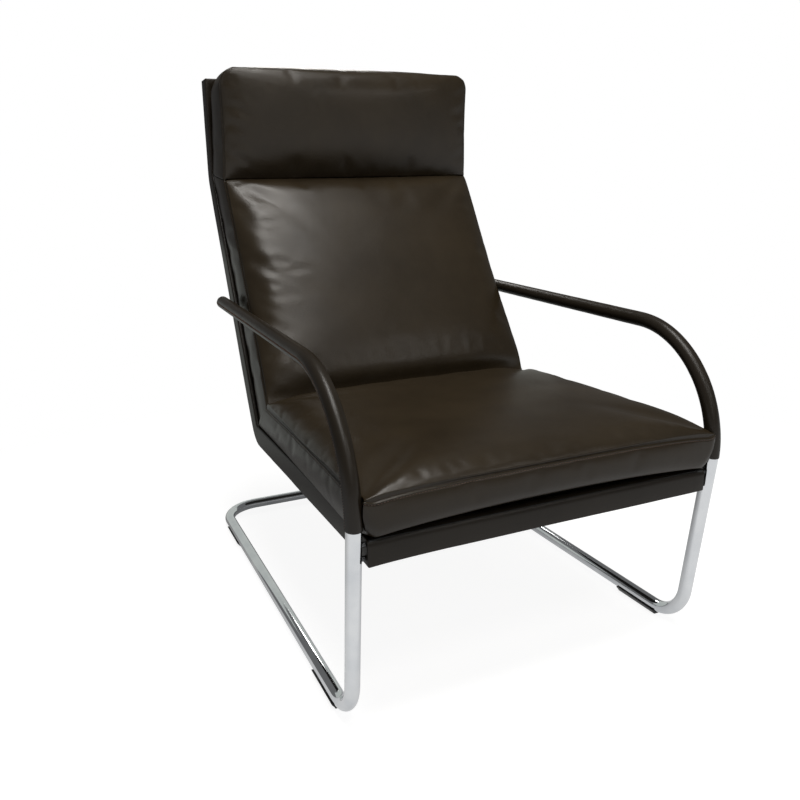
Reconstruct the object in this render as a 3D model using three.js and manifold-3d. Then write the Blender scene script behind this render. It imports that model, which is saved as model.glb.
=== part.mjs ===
// Cantilever lounge chair: a chromed tube frame that rests on two floor runners,
// a thin leather-covered shell bolted between the uprights, and a three-part pad set.
// Millimetres, +Z up. The sitter looks along -Y, so the sitter's left side is +X.
// The side profile is drawn in (y, z), with y = 0 where an upright meets its runner.

import * as THREE from 'three';
import { mergeVertices } from 'three/addons/utils/BufferGeometryUtils.js';
import Module from 'manifold-3d';

const wasm = await Module();
wasm.setup();

const chair = new THREE.Group();
const rad = THREE.MathUtils.degToRad;

// Clearances shared by all the pieces
const seatGap = 0.3;
const padGap = 0.5;
const cutOverrun = 5;

// Frame tube
const tubeDiameter = 25;
const tubeWall = 2;
const tubeSides = 16;
const bendStep = rad(12);
const tubeRadius = tubeDiameter / 2;
const boreRadius = tubeRadius - tubeWall;
const frameGauge = 680;
const halfGauge = frameGauge / 2;
const glideHeight = 4;
const runnerAxis = glideHeight + tubeRadius;
const uprightLean = rad(7.8);
const armRise = rad(1.7);
const armHeight = 581;
const armReach = 760;
const armCurveGap = 4;
const frontBendRadius = 80;
const rearBendRadius = 88;
const rearBarPlace = 982;
const hingeGap = 0.9;

// Leather sleeve on each arm and the plug in its open end
const leatherThickness = 1;
const sleeveRadius = tubeRadius + seatGap + leatherThickness;
const sleeveGap = 17;
const plugThickness = 3;
const plugStem = 25;
const stemClearance = 0.8;
const stemRadius = boreRadius - stemClearance;

// Connector inside the rear bar, where the two side tubes meet
const spigotLength = 120;
const barJointGap = 0.4;

// Floor glides
const glideLength = 110;
const glideWall = 3;
const glideFlatShare = 0.5;
const glideReach = rad(70);
const glideFlank = rad(40);
const frontGlideInset = 44;
const rearGlideInset = 167;

// Shell: the outer line of its side profile, its depth and its half widths
const shellNose = 14.4;
const shellUnderside = 306;
const shellDepth = 43;
const seatLength = 674;
const backRise = 572;
const headRise = 222;
const shellSideGap = 5.5;
const neckTaper = 12;
const backLean = rad(31);
const headLean = rad(-4);
const seatTop = shellUnderside + shellDepth;
const shellFront = -(shellUnderside - runnerAxis) * Math.tan(uprightLean) - shellNose;
const shellBack = shellFront + seatLength;
const neckHeight = shellUnderside + backRise;
const shellTop = neckHeight + headRise;
const shellHalfWidth = halfGauge - tubeRadius - shellSideGap;
const neckHalfWidth = shellHalfWidth - neckTaper;
const seatBendRadius = 62;
const neckBendRadius = 72;
const filletSteps = 5;
const coverThickness = 3;
const rimWidth = 22;

// Inner frame of the shell
const sideRailThickness = 12;
const railWall = 2;
const crossRailDiameter = 20;
const frontRailInset = 34;
const strapThickness = 2;
const strapWidth = 50;
const seatStraps = 6;
const backStraps = 5;
const linerThickness = 2;
const gripThickness = 0.9;
const gripWidth = 50;

// Shell fixings
const boltDiameter = 6;
const boltHeadDiameter = 10;
const boltHeadHeight = 5;
const boltSocket = 5;
const boltSocketDepth = 3;
const socketSides = 6;
const upperBoltInset = 11;
const lowerBoltInset = 8;
const boltHoleClearance = 0.4;
const spacerDiameter = 12;
const nutDiameter = 9;
const nutCollarDiameter = 12;
const nutCollar = 1.5;
const nutLength = 9;
const nutHoleClearance = 0.3;

// Pads
const seatFrontOverhang = 2;
const seatRearInset = 5;
const backPadInset = 9;
const neckPadInset = 4;
const headPadInset = 10;
const seatPadDepth = 59;
const backPadDepth = 95;
const headPadDepth = 122;
const padOverhang = 12;
const padLipRise = 7;
const padFrontBow = 9;
const lipShare = 0.12;
const headPadRise = 16;
const seatCrown = 47;
const backCrown = 34;
const headCrown = 26;
const boxingBulge = 3;
const topBulge = 6;
const sideDraw = 3;
const seatCornerDraw = 4;
const headCornerDraw = 8;
const domePower = 5;
const cheekPower = 4;
const cornerPower = 8;
const crowdingShare = 0.7;
const padGridAcross = 14;
const padGridAlong = 12;
const padGridDeep = 3;
const creaseGap = 0.6;

// Finishes
const chrome = { color: 0xc9ccd0, roughness: 0.12, metalness: 1 };
const steel = { color: 0x5a5c5e, roughness: 0.45, metalness: 0.9 };
const leather = { color: 0x2b2620, roughness: 0.5, metalness: 0 };
const coverLeather = { color: 0x221f1b, roughness: 0.55, metalness: 0 };
const plastic = { color: 0x141414, roughness: 0.5, metalness: 0 };
const webbing = { color: 0x2a2a28, roughness: 0.9, metalness: 0 };
const lining = { color: 0x1b1b1b, roughness: 0.95, metalness: 0 };

function addPiece(name, geometry, finish) {
  const mesh = new THREE.Mesh(geometry, new THREE.MeshStandardMaterial(finish));
  mesh.name = name;
  chair.add(mesh);
}

function bare(geometry) {
  const copy = geometry.clone();
  copy.deleteAttribute('normal');
  copy.deleteAttribute('uv');
  return mergeVertices(copy);
}

function toSolid(geometry) {
  const merged = bare(geometry);
  return new wasm.Manifold(new wasm.Mesh({
    numProp: 3,
    vertProperties: new Float32Array(merged.attributes.position.array),
    triVerts: new Uint32Array(merged.index.array),
  }));
}

function toGeometry(solid) {
  const mesh = solid.getMesh();
  const geometry = new THREE.BufferGeometry();
  geometry.setAttribute('position', new THREE.BufferAttribute(mesh.vertProperties, mesh.numProp));
  geometry.setIndex(new THREE.BufferAttribute(mesh.triVerts, 1));
  return geometry;
}

function cut(geometry, ...tools) {
  const solid = tools.reduce((rest, tool) => rest.subtract(toSolid(tool)), toSolid(geometry));
  return toGeometry(solid);
}

// A line of straight runs and round bends: ring points and their directions, in order
class BentLine extends THREE.Curve {
  constructor(stations) {
    super();
    this.stations = stations;
    this.steps = stations.length - 1;
  }

  getPointAt(u, target = new THREE.Vector3()) {
    return target.copy(this.stations[Math.round(u * this.steps)].point);
  }

  getTangentAt(u, target = new THREE.Vector3()) {
    return target.copy(this.stations[Math.round(u * this.steps)].direction);
  }
}

function bentLine(corners, radii) {
  const last = corners.length - 1;
  const toward = (a, b) => b.clone().sub(a).normalize();
  const stations = [{ point: corners[0], direction: toward(corners[0], corners[1]) }];
  for (let i = 1; i < last; i += 1) {
    const before = toward(corners[i - 1], corners[i]);
    const after = toward(corners[i], corners[i + 1]);
    const turn = before.angleTo(after);
    const radius = radii[i - 1];
    const start = corners[i].clone().addScaledVector(before, -radius * Math.tan(turn / 2));
    const inward = after.clone().addScaledVector(before, -after.dot(before)).normalize();
    const centre = start.clone().addScaledVector(inward, radius);
    const count = Math.max(2, Math.ceil(turn / bendStep));
    for (let k = 0; k <= count; k += 1) {
      const angle = (turn * k) / count;
      stations.push({
        point: centre.clone()
          .addScaledVector(inward, -radius * Math.cos(angle))
          .addScaledVector(before, radius * Math.sin(angle)),
        direction: before.clone().multiplyScalar(Math.cos(angle))
          .addScaledVector(inward, Math.sin(angle)),
      });
    }
  }
  stations.push({ point: corners[last], direction: toward(corners[last - 1], corners[last]) });
  return new BentLine(stations);
}

function ring(radius) {
  return Array.from({ length: tubeSides }, (_, i) => {
    const angle = (2 * Math.PI * i) / tubeSides;
    return new THREE.Vector2(radius * Math.cos(angle), radius * Math.sin(angle));
  });
}

function pipe(line, outerRadius, innerRadius) {
  const section = new THREE.Shape(ring(outerRadius));
  section.holes.push(new THREE.Path(ring(innerRadius)));
  return new THREE.ExtrudeGeometry(section, { steps: line.steps, extrudePath: line });
}

// A closed outline given from the axis outwards, turned about Z
function turned(outline, sides = tubeSides) {
  return new THREE.LatheGeometry(outline.map(([r, z]) => new THREE.Vector2(r, z)), sides)
    .rotateX(Math.PI / 2);
}

function rod(radius, length, sides = tubeSides) {
  return turned([[0, 0], [radius, 0], [radius, length], [0, length]], sides);
}

function hollowRod(outer, inner, length) {
  return turned([[inner, 0], [outer, 0], [outer, length], [inner, length], [inner, 0]]);
}

// Lays a shape that was drawn along Z onto a direction, its z = 0 at the given point
function lay(geometry, point, direction) {
  const turn = new THREE.Quaternion().setFromUnitVectors(new THREE.Vector3(0, 0, 1), direction);
  return geometry.applyQuaternion(turn).translate(point.x, point.y, point.z);
}

// Lines of the side tube, for the side that is given as +1 or -1
const uprightDirection = new THREE.Vector3(0, -Math.sin(uprightLean), Math.cos(uprightLean));
const armDirection = new THREE.Vector3(0, Math.cos(armRise), Math.sin(armRise));
const armCornerHeight = (armHeight + runnerAxis * Math.tan(uprightLean) * Math.tan(armRise))
  / (1 + Math.tan(uprightLean) * Math.tan(armRise));

function uprightPoint(side, z) {
  return new THREE.Vector3(side * halfGauge, -(z - runnerAxis) * Math.tan(uprightLean), z);
}

function armPoint(side, y) {
  return new THREE.Vector3(side * halfGauge, y, armHeight + y * Math.tan(armRise));
}

// The upright's straight run starts where the front bend ends: the chair springs about this point
const frontBendTurn = Math.PI / 2 - uprightLean;
const hingeReach = frontBendRadius * Math.tan(frontBendTurn / 2);
const hingeHeight = runnerAxis + hingeReach * Math.cos(uprightLean);

function addFloorTube(side, name) {
  const top = uprightPoint(side, hingeHeight).addScaledVector(uprightDirection, -hingeGap / 2);
  const line = bentLine([
    top,
    uprightPoint(side, runnerAxis),
    new THREE.Vector3(side * halfGauge, rearBarPlace, runnerAxis),
    new THREE.Vector3((side * barJointGap) / 2, rearBarPlace, runnerAxis),
  ], [frontBendRadius - hingeGap, rearBendRadius]);
  addPiece(name, pipe(line, tubeRadius, boreRadius), chrome);
}

// The arm's curve starts just above the shell, so its radius follows from the arm's height
const armTurn = Math.PI / 2 + uprightLean - armRise;
const armCurveReach = (armCornerHeight - seatTop - armCurveGap) / Math.cos(uprightLean);
const armCurveRadius = armCurveReach / Math.tan(armTurn / 2);

function sideLine(side, start) {
  return bentLine([
    start,
    uprightPoint(side, armCornerHeight),
    armPoint(side, armReach),
  ], [armCurveRadius]);
}

function acrossRod(radius, side, z, from, to, sides) {
  const place = uprightPoint(side, z);
  const start = new THREE.Vector3(side * from, place.y, place.z);
  return lay(rod(radius, to - from, sides), start, new THREE.Vector3(side, 0, 0));
}

const boltHeights = { upper: seatTop - upperBoltInset, lower: shellUnderside + lowerBoltInset };

function addArmTube(side, name) {
  const start = uprightPoint(side, hingeHeight).addScaledVector(uprightDirection, hingeGap / 2);
  const holes = Object.values(boltHeights).map((z) => acrossRod(
    nutDiameter / 2 + nutHoleClearance, side, z, halfGauge - tubeRadius - cutOverrun, halfGauge,
  ));
  addPiece(name, cut(pipe(sideLine(side, start), tubeRadius, boreRadius), ...holes), chrome);
}

function addArmSleeve(side, name) {
  const start = uprightPoint(side, hingeHeight);
  const end = uprightPoint(side, seatTop + sleeveGap);
  const bareLength = start.distanceTo(end) + cutOverrun;
  const bareRun = lay(
    rod(sleeveRadius + cutOverrun, bareLength),
    start.clone().addScaledVector(uprightDirection, -cutOverrun),
    uprightDirection,
  );
  addPiece(name, cut(pipe(sideLine(side, start), sleeveRadius, tubeRadius + seatGap), bareRun), leather);
}

function addArmPlug(side, name) {
  const outline = [
    [0, -plugStem],
    [stemRadius, -plugStem],
    [stemRadius, seatGap],
    [sleeveRadius, seatGap],
    [sleeveRadius, plugThickness / 2],
    [sleeveRadius - plugThickness / 2, plugThickness],
    [0, plugThickness],
  ];
  addPiece(name, lay(turned(outline), armPoint(side, armReach), armDirection), leather);
}

function addSpigot() {
  const start = new THREE.Vector3(-spigotLength / 2, rearBarPlace, runnerAxis);
  const bar = lay(rod(stemRadius, spigotLength), start, new THREE.Vector3(1, 0, 0));
  addPiece('rear_bar_spigot', bar, steel);
}

// A saddle that clips under a runner: flat on the floor, hollowed to the tube above
function addGlide(side, place, name) {
  const inner = tubeRadius + seatGap;
  const outer = inner + glideWall;
  const arc = (radius, from, to, count) => Array.from({ length: count + 1 }, (_, i) => {
    const angle = from + ((to - from) * i) / count;
    return new THREE.Vector2(radius * Math.sin(angle), -radius * Math.cos(angle));
  });
  const flat = outer * glideFlatShare;
  const outline = [
    ...arc(inner, glideReach, -glideReach, tubeSides / 2),
    ...arc(outer, -glideReach, -glideFlank, 2),
    new THREE.Vector2(-flat, -runnerAxis),
    new THREE.Vector2(flat, -runnerAxis),
    ...arc(outer, glideFlank, glideReach, 2),
  ];
  const saddle = new THREE.ExtrudeGeometry(new THREE.Shape(outline), {
    depth: glideLength, bevelEnabled: false,
  });
  saddle.rotateX(Math.PI / 2).translate(side * halfGauge, place + glideLength / 2, runnerAxis);
  addPiece(name, saddle, plastic);
}

// Side profile of the shell: the same line drawn at an offset in from the outer faces
const backDirection = new THREE.Vector2(Math.sin(backLean), Math.cos(backLean));
const headDirection = new THREE.Vector2(Math.sin(headLean), Math.cos(headLean));
const seatDirection = new THREE.Vector2(1, 0);
const neckPlace = shellBack + (neckHeight - shellUnderside) * Math.tan(backLean);

function inwardOf(direction) {
  return new THREE.Vector2(-direction.y, direction.x);
}

function lineAt(anchor, direction, offset) {
  return { point: anchor.clone().addScaledVector(inwardOf(direction), offset), direction };
}

function crossing(first, second) {
  const gap = second.point.clone().sub(first.point);
  const share = gap.cross(second.direction) / first.direction.cross(second.direction);
  return first.point.clone().addScaledVector(first.direction, share);
}

const seatAnchor = new THREE.Vector2(shellBack, shellUnderside);
const neckAnchor = new THREE.Vector2(neckPlace, neckHeight);
const seatLine = (offset) => lineAt(seatAnchor, seatDirection, offset);
const backLine = (offset) => lineAt(seatAnchor, backDirection, offset);
const headLine = (offset) => lineAt(neckAnchor, headDirection, offset);

function levelLine(z) {
  return { point: new THREE.Vector2(0, z), direction: seatDirection };
}

function fillet(corner, before, after, radius) {
  const turn = Math.acos(THREE.MathUtils.clamp(before.dot(after), -1, 1));
  const start = corner.clone().addScaledVector(before, -radius * Math.tan(turn / 2));
  const inward = inwardOf(before);
  return Array.from({ length: filletSteps + 1 }, (_, i) => {
    const angle = (turn * i) / filletSteps;
    return start.clone()
      .addScaledVector(inward, radius * (1 - Math.cos(angle)))
      .addScaledVector(before, radius * Math.sin(angle));
  });
}

function shellLine(offset, trim) {
  const seatCorner = crossing(seatLine(offset), backLine(offset));
  const neckCorner = crossing(backLine(offset), headLine(offset));
  const top = crossing(headLine(offset), levelLine(shellTop - trim));
  return [
    new THREE.Vector2(shellFront + trim, shellUnderside + offset),
    ...fillet(seatCorner, seatDirection, backDirection, seatBendRadius - offset),
    ...fillet(neckCorner, backDirection, headDirection, neckBendRadius - offset),
    top,
  ];
}

// Extrudes a (y, z) outline across the chair, from one x to another
function across(outline, from, to) {
  const solid = new THREE.ExtrudeGeometry(new THREE.Shape(outline), {
    depth: to - from, bevelEnabled: false,
  });
  const frame = new THREE.Matrix4().makeBasis(
    new THREE.Vector3(0, 1, 0), new THREE.Vector3(0, 0, 1), new THREE.Vector3(1, 0, 0),
  );
  return solid.applyMatrix4(frame).translate(from, 0, 0);
}

function shellBand(lowOffset, highOffset, trim, from, to) {
  const outline = [...shellLine(lowOffset, trim), ...shellLine(highOffset, trim).reverse()];
  return across(outline, from, to);
}

// The shell narrows evenly from the seat to the neck
function widthShare(z) {
  const rise = THREE.MathUtils.clamp((z - seatTop) / (neckHeight - seatTop), 0, 1);
  return 1 - rise * (1 - neckHalfWidth / shellHalfWidth);
}

function narrow(geometry) {
  const place = geometry.attributes.position;
  for (let i = 0; i < place.count; i += 1) {
    place.setX(i, place.getX(i) * widthShare(place.getZ(i)));
  }
  return geometry;
}

function addShellCover() {
  const inside = shellHalfWidth - coverThickness;
  const opening = shellHalfWidth - rimWidth;
  const outer = shellBand(0, shellDepth, 0, -shellHalfWidth, shellHalfWidth);
  const hollow = shellBand(
    coverThickness, shellDepth - coverThickness, coverThickness, -inside, inside,
  );
  const mouth = shellBand(
    shellDepth / 2, shellDepth + cutOverrun, rimWidth, -opening, opening,
  );
  const holes = [1, -1].flatMap((side) => Object.values(boltHeights).map((z) => acrossRod(
    boltDiameter / 2 + boltHoleClearance, side, z, inside - cutOverrun, shellHalfWidth + cutOverrun,
  )));
  addPiece('shell_cover', narrow(cut(outer, hollow, mouth, ...holes)), coverLeather);
}

const railOffset = coverThickness + seatGap;
const strapOffset = shellDepth - coverThickness - seatGap - strapThickness;
const railTopOffset = strapOffset - seatGap;
const railOuter = shellHalfWidth - coverThickness - seatGap;
const railInner = railOuter - sideRailThickness;

function addSideRail(side, name) {
  const ends = [side * railInner, side * railOuter].sort((a, b) => a - b);
  const bar = shellBand(railOffset, railTopOffset, railOffset, ...ends);
  const hollow = shellBand(
    railOffset + railWall, railTopOffset - railWall, railOffset - cutOverrun,
    ends[0] + railWall, ends[1] - railWall,
  );
  const holes = Object.values(boltHeights).map((z) => acrossRod(
    boltDiameter / 2 + boltHoleClearance, side, z, railInner - cutOverrun, railOuter + cutOverrun,
  ));
  addPiece(name, narrow(cut(bar, hollow, ...holes)), steel);
}

function addCrossRail(y, z, name) {
  const half = railInner - seatGap;
  const radius = crossRailDiameter / 2;
  const bar = lay(
    hollowRod(radius, radius - railWall, 2 * half),
    new THREE.Vector3(-half, y, z),
    new THREE.Vector3(1, 0, 0),
  );
  addPiece(name, narrow(bar), steel);
}

const railMiddle = (railOffset + railTopOffset) / 2;

function addCrossRails() {
  const bend = crossing(seatLine(railMiddle), backLine(railMiddle));
  const neck = crossing(backLine(railMiddle), headLine(railMiddle));
  const topGap = railOffset + crossRailDiameter;
  const top = crossing(headLine(railMiddle), levelLine(shellTop - topGap));
  addCrossRail(shellFront + frontRailInset, shellUnderside + railMiddle, 'front_cross_rail');
  addCrossRail(bend.x - seatBendRadius / 2, bend.y, 'bend_cross_rail');
  addCrossRail(neck.x, neck.y, 'neck_cross_rail');
  addCrossRail(top.x, top.y, 'top_cross_rail');
}

// A flat strip laid on the shell's profile, starting some way along one of its straight lines
function strip(line, start, width, thickness, half) {
  const from = line.point.clone().addScaledVector(line.direction, start);
  const rise = inwardOf(line.direction).multiplyScalar(thickness);
  const run = line.direction.clone().multiplyScalar(width);
  const outline = [from, from.clone().add(run), from.clone().add(run).add(rise), from.clone().add(rise)];
  return narrow(across(outline, -half, half));
}

const seatBendReach = seatBendRadius * Math.tan((Math.PI / 2 - backLean) / 2);
const neckBendReach = neckBendRadius * Math.tan((backLean - headLean) / 2);

function addStraps(line, first, room, count, name) {
  const pitch = (room - strapWidth) / (count - 1);
  const half = railOuter - seatGap;
  for (let i = 0; i < count; i += 1) {
    const piece = strip(line, first + i * pitch, strapWidth, strapThickness, half);
    addPiece(`${name}_${i + 1}`, piece, webbing);
  }
}

// Straight stretches of the profile, measured from the anchor of each line
const seatStart = shellFront - shellBack + railOffset + seatGap;
const seatRoom = -seatStart - seatBendReach;
const backLength = (neckHeight - shellUnderside) / Math.cos(backLean);
const backRoom = backLength - seatBendReach - neckBendReach;
const headLength = (shellTop - neckHeight) / Math.cos(headLean);

function addSuspension() {
  addStraps(seatLine(strapOffset), seatStart, seatRoom, seatStraps, 'seat_strap');
  addStraps(backLine(strapOffset), seatBendReach, backRoom, backStraps, 'back_strap');
  const head = (headLength - strapWidth) / 2;
  const half = railOuter - seatGap;
  const piece = strip(headLine(strapOffset), head, strapWidth, strapThickness, half);
  addPiece('head_strap', piece, webbing);
}

const linerOffset = strapOffset + strapThickness + seatGap;
const linerHalf = shellHalfWidth - rimWidth - padGap;

function addLiner() {
  const band = shellBand(
    linerOffset, linerOffset + linerThickness, rimWidth + padGap, -linerHalf, linerHalf,
  );
  addPiece('pad_liner', narrow(band), lining);
}

function addGripStrips() {
  const offset = linerOffset + linerThickness + seatGap;
  const half = linerHalf - gripWidth;
  const places = {
    seat_front_grip: [seatLine(offset), seatStart + gripWidth],
    seat_rear_grip: [seatLine(offset), -seatBendReach - 2 * gripWidth],
    back_lower_grip: [backLine(offset), seatBendReach + gripWidth],
    back_upper_grip: [backLine(offset), backLength - neckBendReach - 2 * gripWidth],
    head_grip: [headLine(offset), headLength / 2],
  };
  Object.entries(places).forEach(([name, [line, start]]) => {
    addPiece(name, strip(line, start, gripWidth, gripThickness, half), lining);
  });
}

// Fixings between shell and uprights
function addBolt(side, level, z) {
  const shank = boltDiameter / 2;
  const head = boltHeadDiameter / 2;
  const end = halfGauge - boreRadius + nutLength - nutCollar;
  const start = railInner - seatGap;
  const outline = [
    [0, -boltHeadHeight], [head, -boltHeadHeight], [head, 0], [shank, 0], [shank, end - start], [0, end - start],
  ];
  const socket = rod(boltSocket / 2, boltSocketDepth + cutOverrun, socketSides)
    .translate(0, 0, -boltHeadHeight - cutOverrun);
  const place = uprightPoint(side, z);
  const bolt = lay(
    cut(turned(outline), socket),
    new THREE.Vector3(side * start, place.y, place.z),
    new THREE.Vector3(side, 0, 0),
  );
  addPiece(`${side > 0 ? 'left' : 'right'}_${level}_bolt`, bolt, steel);
}

function addSpacer(side, level, z) {
  const place = uprightPoint(side, z);
  const start = shellHalfWidth + seatGap;
  const bore = boltDiameter / 2 + boltHoleClearance;
  const blank = lay(
    hollowRod(spacerDiameter / 2, bore, halfGauge - start),
    new THREE.Vector3(side * start, place.y, place.z),
    new THREE.Vector3(side, 0, 0),
  );
  const tube = lay(
    rod(tubeRadius + seatGap, 2 * spacerDiameter, 2 * tubeSides),
    place.clone().addScaledVector(uprightDirection, -spacerDiameter),
    uprightDirection,
  );
  addPiece(`${side > 0 ? 'left' : 'right'}_${level}_spacer`, cut(blank, tube), chrome);
}

function addNut(side, level, z) {
  const bore = boltDiameter / 2 + boltHoleClearance;
  const body = nutDiameter / 2;
  const collar = nutCollarDiameter / 2;
  const wall = halfGauge - boreRadius * Math.cos(Math.PI / tubeSides) + seatGap;
  const outline = [
    [bore, -tubeWall], [body, -tubeWall], [body, nutCollar], [collar, nutCollar],
    [collar, 2 * nutCollar], [body, 2 * nutCollar], [body, nutLength], [bore, nutLength], [bore, -tubeWall],
  ];
  const place = uprightPoint(side, z);
  const nut = lay(
    turned(outline), new THREE.Vector3(side * wall, place.y, place.z), new THREE.Vector3(side, 0, 0),
  );
  addPiece(`${side > 0 ? 'left' : 'right'}_${level}_nut`, nut, steel);
}

function addFixings(side) {
  Object.entries(boltHeights).forEach(([level, z]) => {
    addBolt(side, level, z);
    addSpacer(side, level, z);
    addNut(side, level, z);
  });
}

// Draws the grid's lines together towards both edges, where a pad turns most sharply
function crowded(share) {
  return THREE.MathUtils.lerp(share, Math.sin((share * Math.PI) / 2), crowdingShare);
}

function arch(share) {
  return Math.max(0, 1 - Math.abs(share) ** domePower) ** (1 / domePower);
}

// A pad is a unit box grid: from -1 to 1, a runs across, b along the profile and c away from
// the shell. It is bent between the line it rests on and its seam line, then crowned and drawn in.
function padGeometry({
  low, high, halfWidths, crown, lip = 0, bow = 0, startRound = 0, endRound = 0, startBulge = 0, endBulge = 0,
}) {
  const along = low[1].clone().sub(low[0]).normalize();
  const outward = inwardOf(along);
  const grid = new THREE.BoxGeometry(1, 1, 1, padGridAcross, padGridAlong, padGridDeep);
  const place = grid.attributes.position;
  for (let i = 0; i < place.count; i += 1) {
    const [a, b, c] = [crowded(2 * place.getX(i)), crowded(2 * place.getY(i)), 2 * place.getZ(i)];
    const run = (1 + b) / 2;
    const height = (1 + c) / 2;
    const round = b < 0 ? startRound : endRound;
    const cheek = (1 - c * c) * (1 - a ** cheekPower);
    const front = Math.max(0, 1 - run / lipShare) ** 2;
    const dome = arch(a) * arch(b) * height;
    const half = THREE.MathUtils.lerp(...halfWidths, run)
      - sideDraw * (1 - b * b) + boxingBulge * (1 - c * c) - round * Math.abs(b) ** cornerPower;
    const point = low[0].clone().lerp(low[1], run).lerp(high[0].clone().lerp(high[1], run), height);
    const push = Math.max(0, b) ** 2 * endBulge * cheek - Math.max(0, -b) ** 2 * startBulge * cheek;
    const pull = round * Math.abs(a) ** cornerPower * Math.sign(b) * b * b;
    point.addScaledVector(along, push - pull);
    point.addScaledVector(outward, crown * dome + (lip + bow * (1 - a * a)) * front);
    place.setXYZ(i, a * half, point.x, point.y);
  }
  return grid;
}

const padLow = shellDepth + padGap;
const seatSeam = seatLine(shellDepth + seatPadDepth);
const backSeam = backLine(shellDepth + backPadDepth);
const headSeam = headLine(shellDepth + headPadDepth);
const seatMitre = [crossing(seatLine(padLow), backLine(padLow)), crossing(seatSeam, backSeam)];
const headMitre = [crossing(backLine(padLow), headLine(padLow)), crossing(backSeam, headSeam)];

// Trims a pad to the round bends of the shell's face
function fitToShell(pad) {
  const half = shellHalfWidth + cutOverrun;
  return cut(pad, shellBand(0, shellDepth + seatGap, 0, -half, half));
}

function beyond(point, direction, distance) {
  return point.clone().addScaledVector(direction, distance);
}

function addPads() {
  const seatPad = padGeometry({
    low: [
      new THREE.Vector2(shellFront - padOverhang, seatTop + padGap),
      beyond(seatMitre[0], seatDirection, -creaseGap),
    ],
    high: [
      new THREE.Vector2(shellFront - padOverhang, seatTop + seatPadDepth),
      beyond(seatMitre[1], seatDirection, -creaseGap),
    ],
    halfWidths: [shellHalfWidth + seatFrontOverhang, shellHalfWidth - seatRearInset],
    crown: seatCrown,
    lip: padLipRise,
    bow: padFrontBow,
    startRound: seatCornerDraw,
    startBulge: boxingBulge,
  });
  const backPad = padGeometry({
    low: [
      beyond(seatMitre[0], backDirection, creaseGap),
      beyond(headMitre[0], backDirection, -creaseGap),
    ],
    high: [
      beyond(seatMitre[1], backDirection, creaseGap),
      beyond(headMitre[1], backDirection, -creaseGap),
    ],
    halfWidths: [shellHalfWidth - backPadInset, neckHalfWidth - neckPadInset],
    crown: backCrown,
  });
  const headPad = padGeometry({
    low: [
      beyond(headMitre[0], headDirection, creaseGap),
      crossing(headLine(padLow), levelLine(shellTop)),
    ],
    high: [
      beyond(headMitre[1], headDirection, creaseGap),
      crossing(headSeam, levelLine(shellTop + headPadRise)),
    ],
    halfWidths: [neckHalfWidth - neckPadInset, neckHalfWidth - headPadInset],
    crown: headCrown,
    endRound: headCornerDraw,
    endBulge: topBulge,
  });
  addPiece('seat_pad', fitToShell(seatPad), leather);
  addPiece('back_pad', fitToShell(backPad), leather);
  addPiece('head_pad', fitToShell(headPad), leather);
}

function addSide(side, name) {
  addFloorTube(side, `${name}_floor_tube`);
  addGlide(side, hingeReach + frontGlideInset, `${name}_front_glide`);
  addGlide(side, rearBarPlace - rearGlideInset, `${name}_rear_glide`);
  addArmTube(side, `${name}_arm_tube`);
  addArmSleeve(side, `${name}_arm_sleeve`);
  addArmPlug(side, `${name}_arm_plug`);
  addSideRail(side, `${name}_side_rail`);
  addFixings(side);
}

addSide(1, 'left');
addSide(-1, 'right');
addSpigot();
addCrossRails();
addSuspension();
addShellCover();
addLiner();
addGripStrips();
addPads();

// The origin lies on the floor, under the middle of the chair's box
const box = new THREE.Box3().setFromObject(chair);
chair.position.y = -(box.min.y + box.max.y) / 2;

export default chair;
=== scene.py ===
# Cantilever lounge chair, dressed for the studio. Metres, +Z up, the sitter looks along -Y.
# Side profiles are drawn in (y, z) with y = 0 where an upright meets its runner, then moved
# back by PROFILE_SHIFT into the model's own frame.

import math
from dataclasses import dataclass

import bmesh
import bpy
import numpy as np
from mathutils import Matrix, Vector, noise


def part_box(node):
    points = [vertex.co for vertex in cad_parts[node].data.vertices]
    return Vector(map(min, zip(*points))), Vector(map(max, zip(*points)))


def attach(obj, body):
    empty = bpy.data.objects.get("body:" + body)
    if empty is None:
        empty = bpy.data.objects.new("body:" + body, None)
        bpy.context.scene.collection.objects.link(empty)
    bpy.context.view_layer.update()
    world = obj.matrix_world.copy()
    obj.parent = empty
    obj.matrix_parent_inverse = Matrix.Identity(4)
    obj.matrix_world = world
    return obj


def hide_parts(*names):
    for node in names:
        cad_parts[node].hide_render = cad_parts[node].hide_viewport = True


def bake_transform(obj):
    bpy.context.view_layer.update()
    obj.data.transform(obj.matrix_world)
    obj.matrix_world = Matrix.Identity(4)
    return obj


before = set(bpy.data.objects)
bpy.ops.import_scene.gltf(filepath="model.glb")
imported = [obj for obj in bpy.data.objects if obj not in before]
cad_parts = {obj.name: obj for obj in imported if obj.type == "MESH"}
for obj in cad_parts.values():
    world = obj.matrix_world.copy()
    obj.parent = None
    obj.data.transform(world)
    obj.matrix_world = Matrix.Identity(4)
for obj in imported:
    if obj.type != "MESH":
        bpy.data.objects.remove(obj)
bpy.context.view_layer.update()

MM = 0.001
SAME_PLACE = 0.01 * MM

# Frame tube
TUBE_RADIUS = 12.5 * MM
HALF_GAUGE = 340 * MM
RUNNER_AXIS = 16.5 * MM
UPRIGHT_LEAN = math.radians(7.8)
ARM_RISE = math.radians(1.7)
ARM_HEIGHT = 581 * MM
ARM_REACH = 760 * MM
ARM_CURVE_GAP = 4 * MM
FRONT_BEND = 80 * MM
REAR_BEND = 88 * MM
REAR_BAR = 982 * MM
BAR_JOINT_GAP = 0.4 * MM
PROFILE_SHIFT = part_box("left_floor_tube")[1].y - REAR_BAR - TUBE_RADIUS
TUBE_SIDES = 40
TUBE_PITCH = 30 * MM
BEND_PITCH = math.radians(4)

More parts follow.
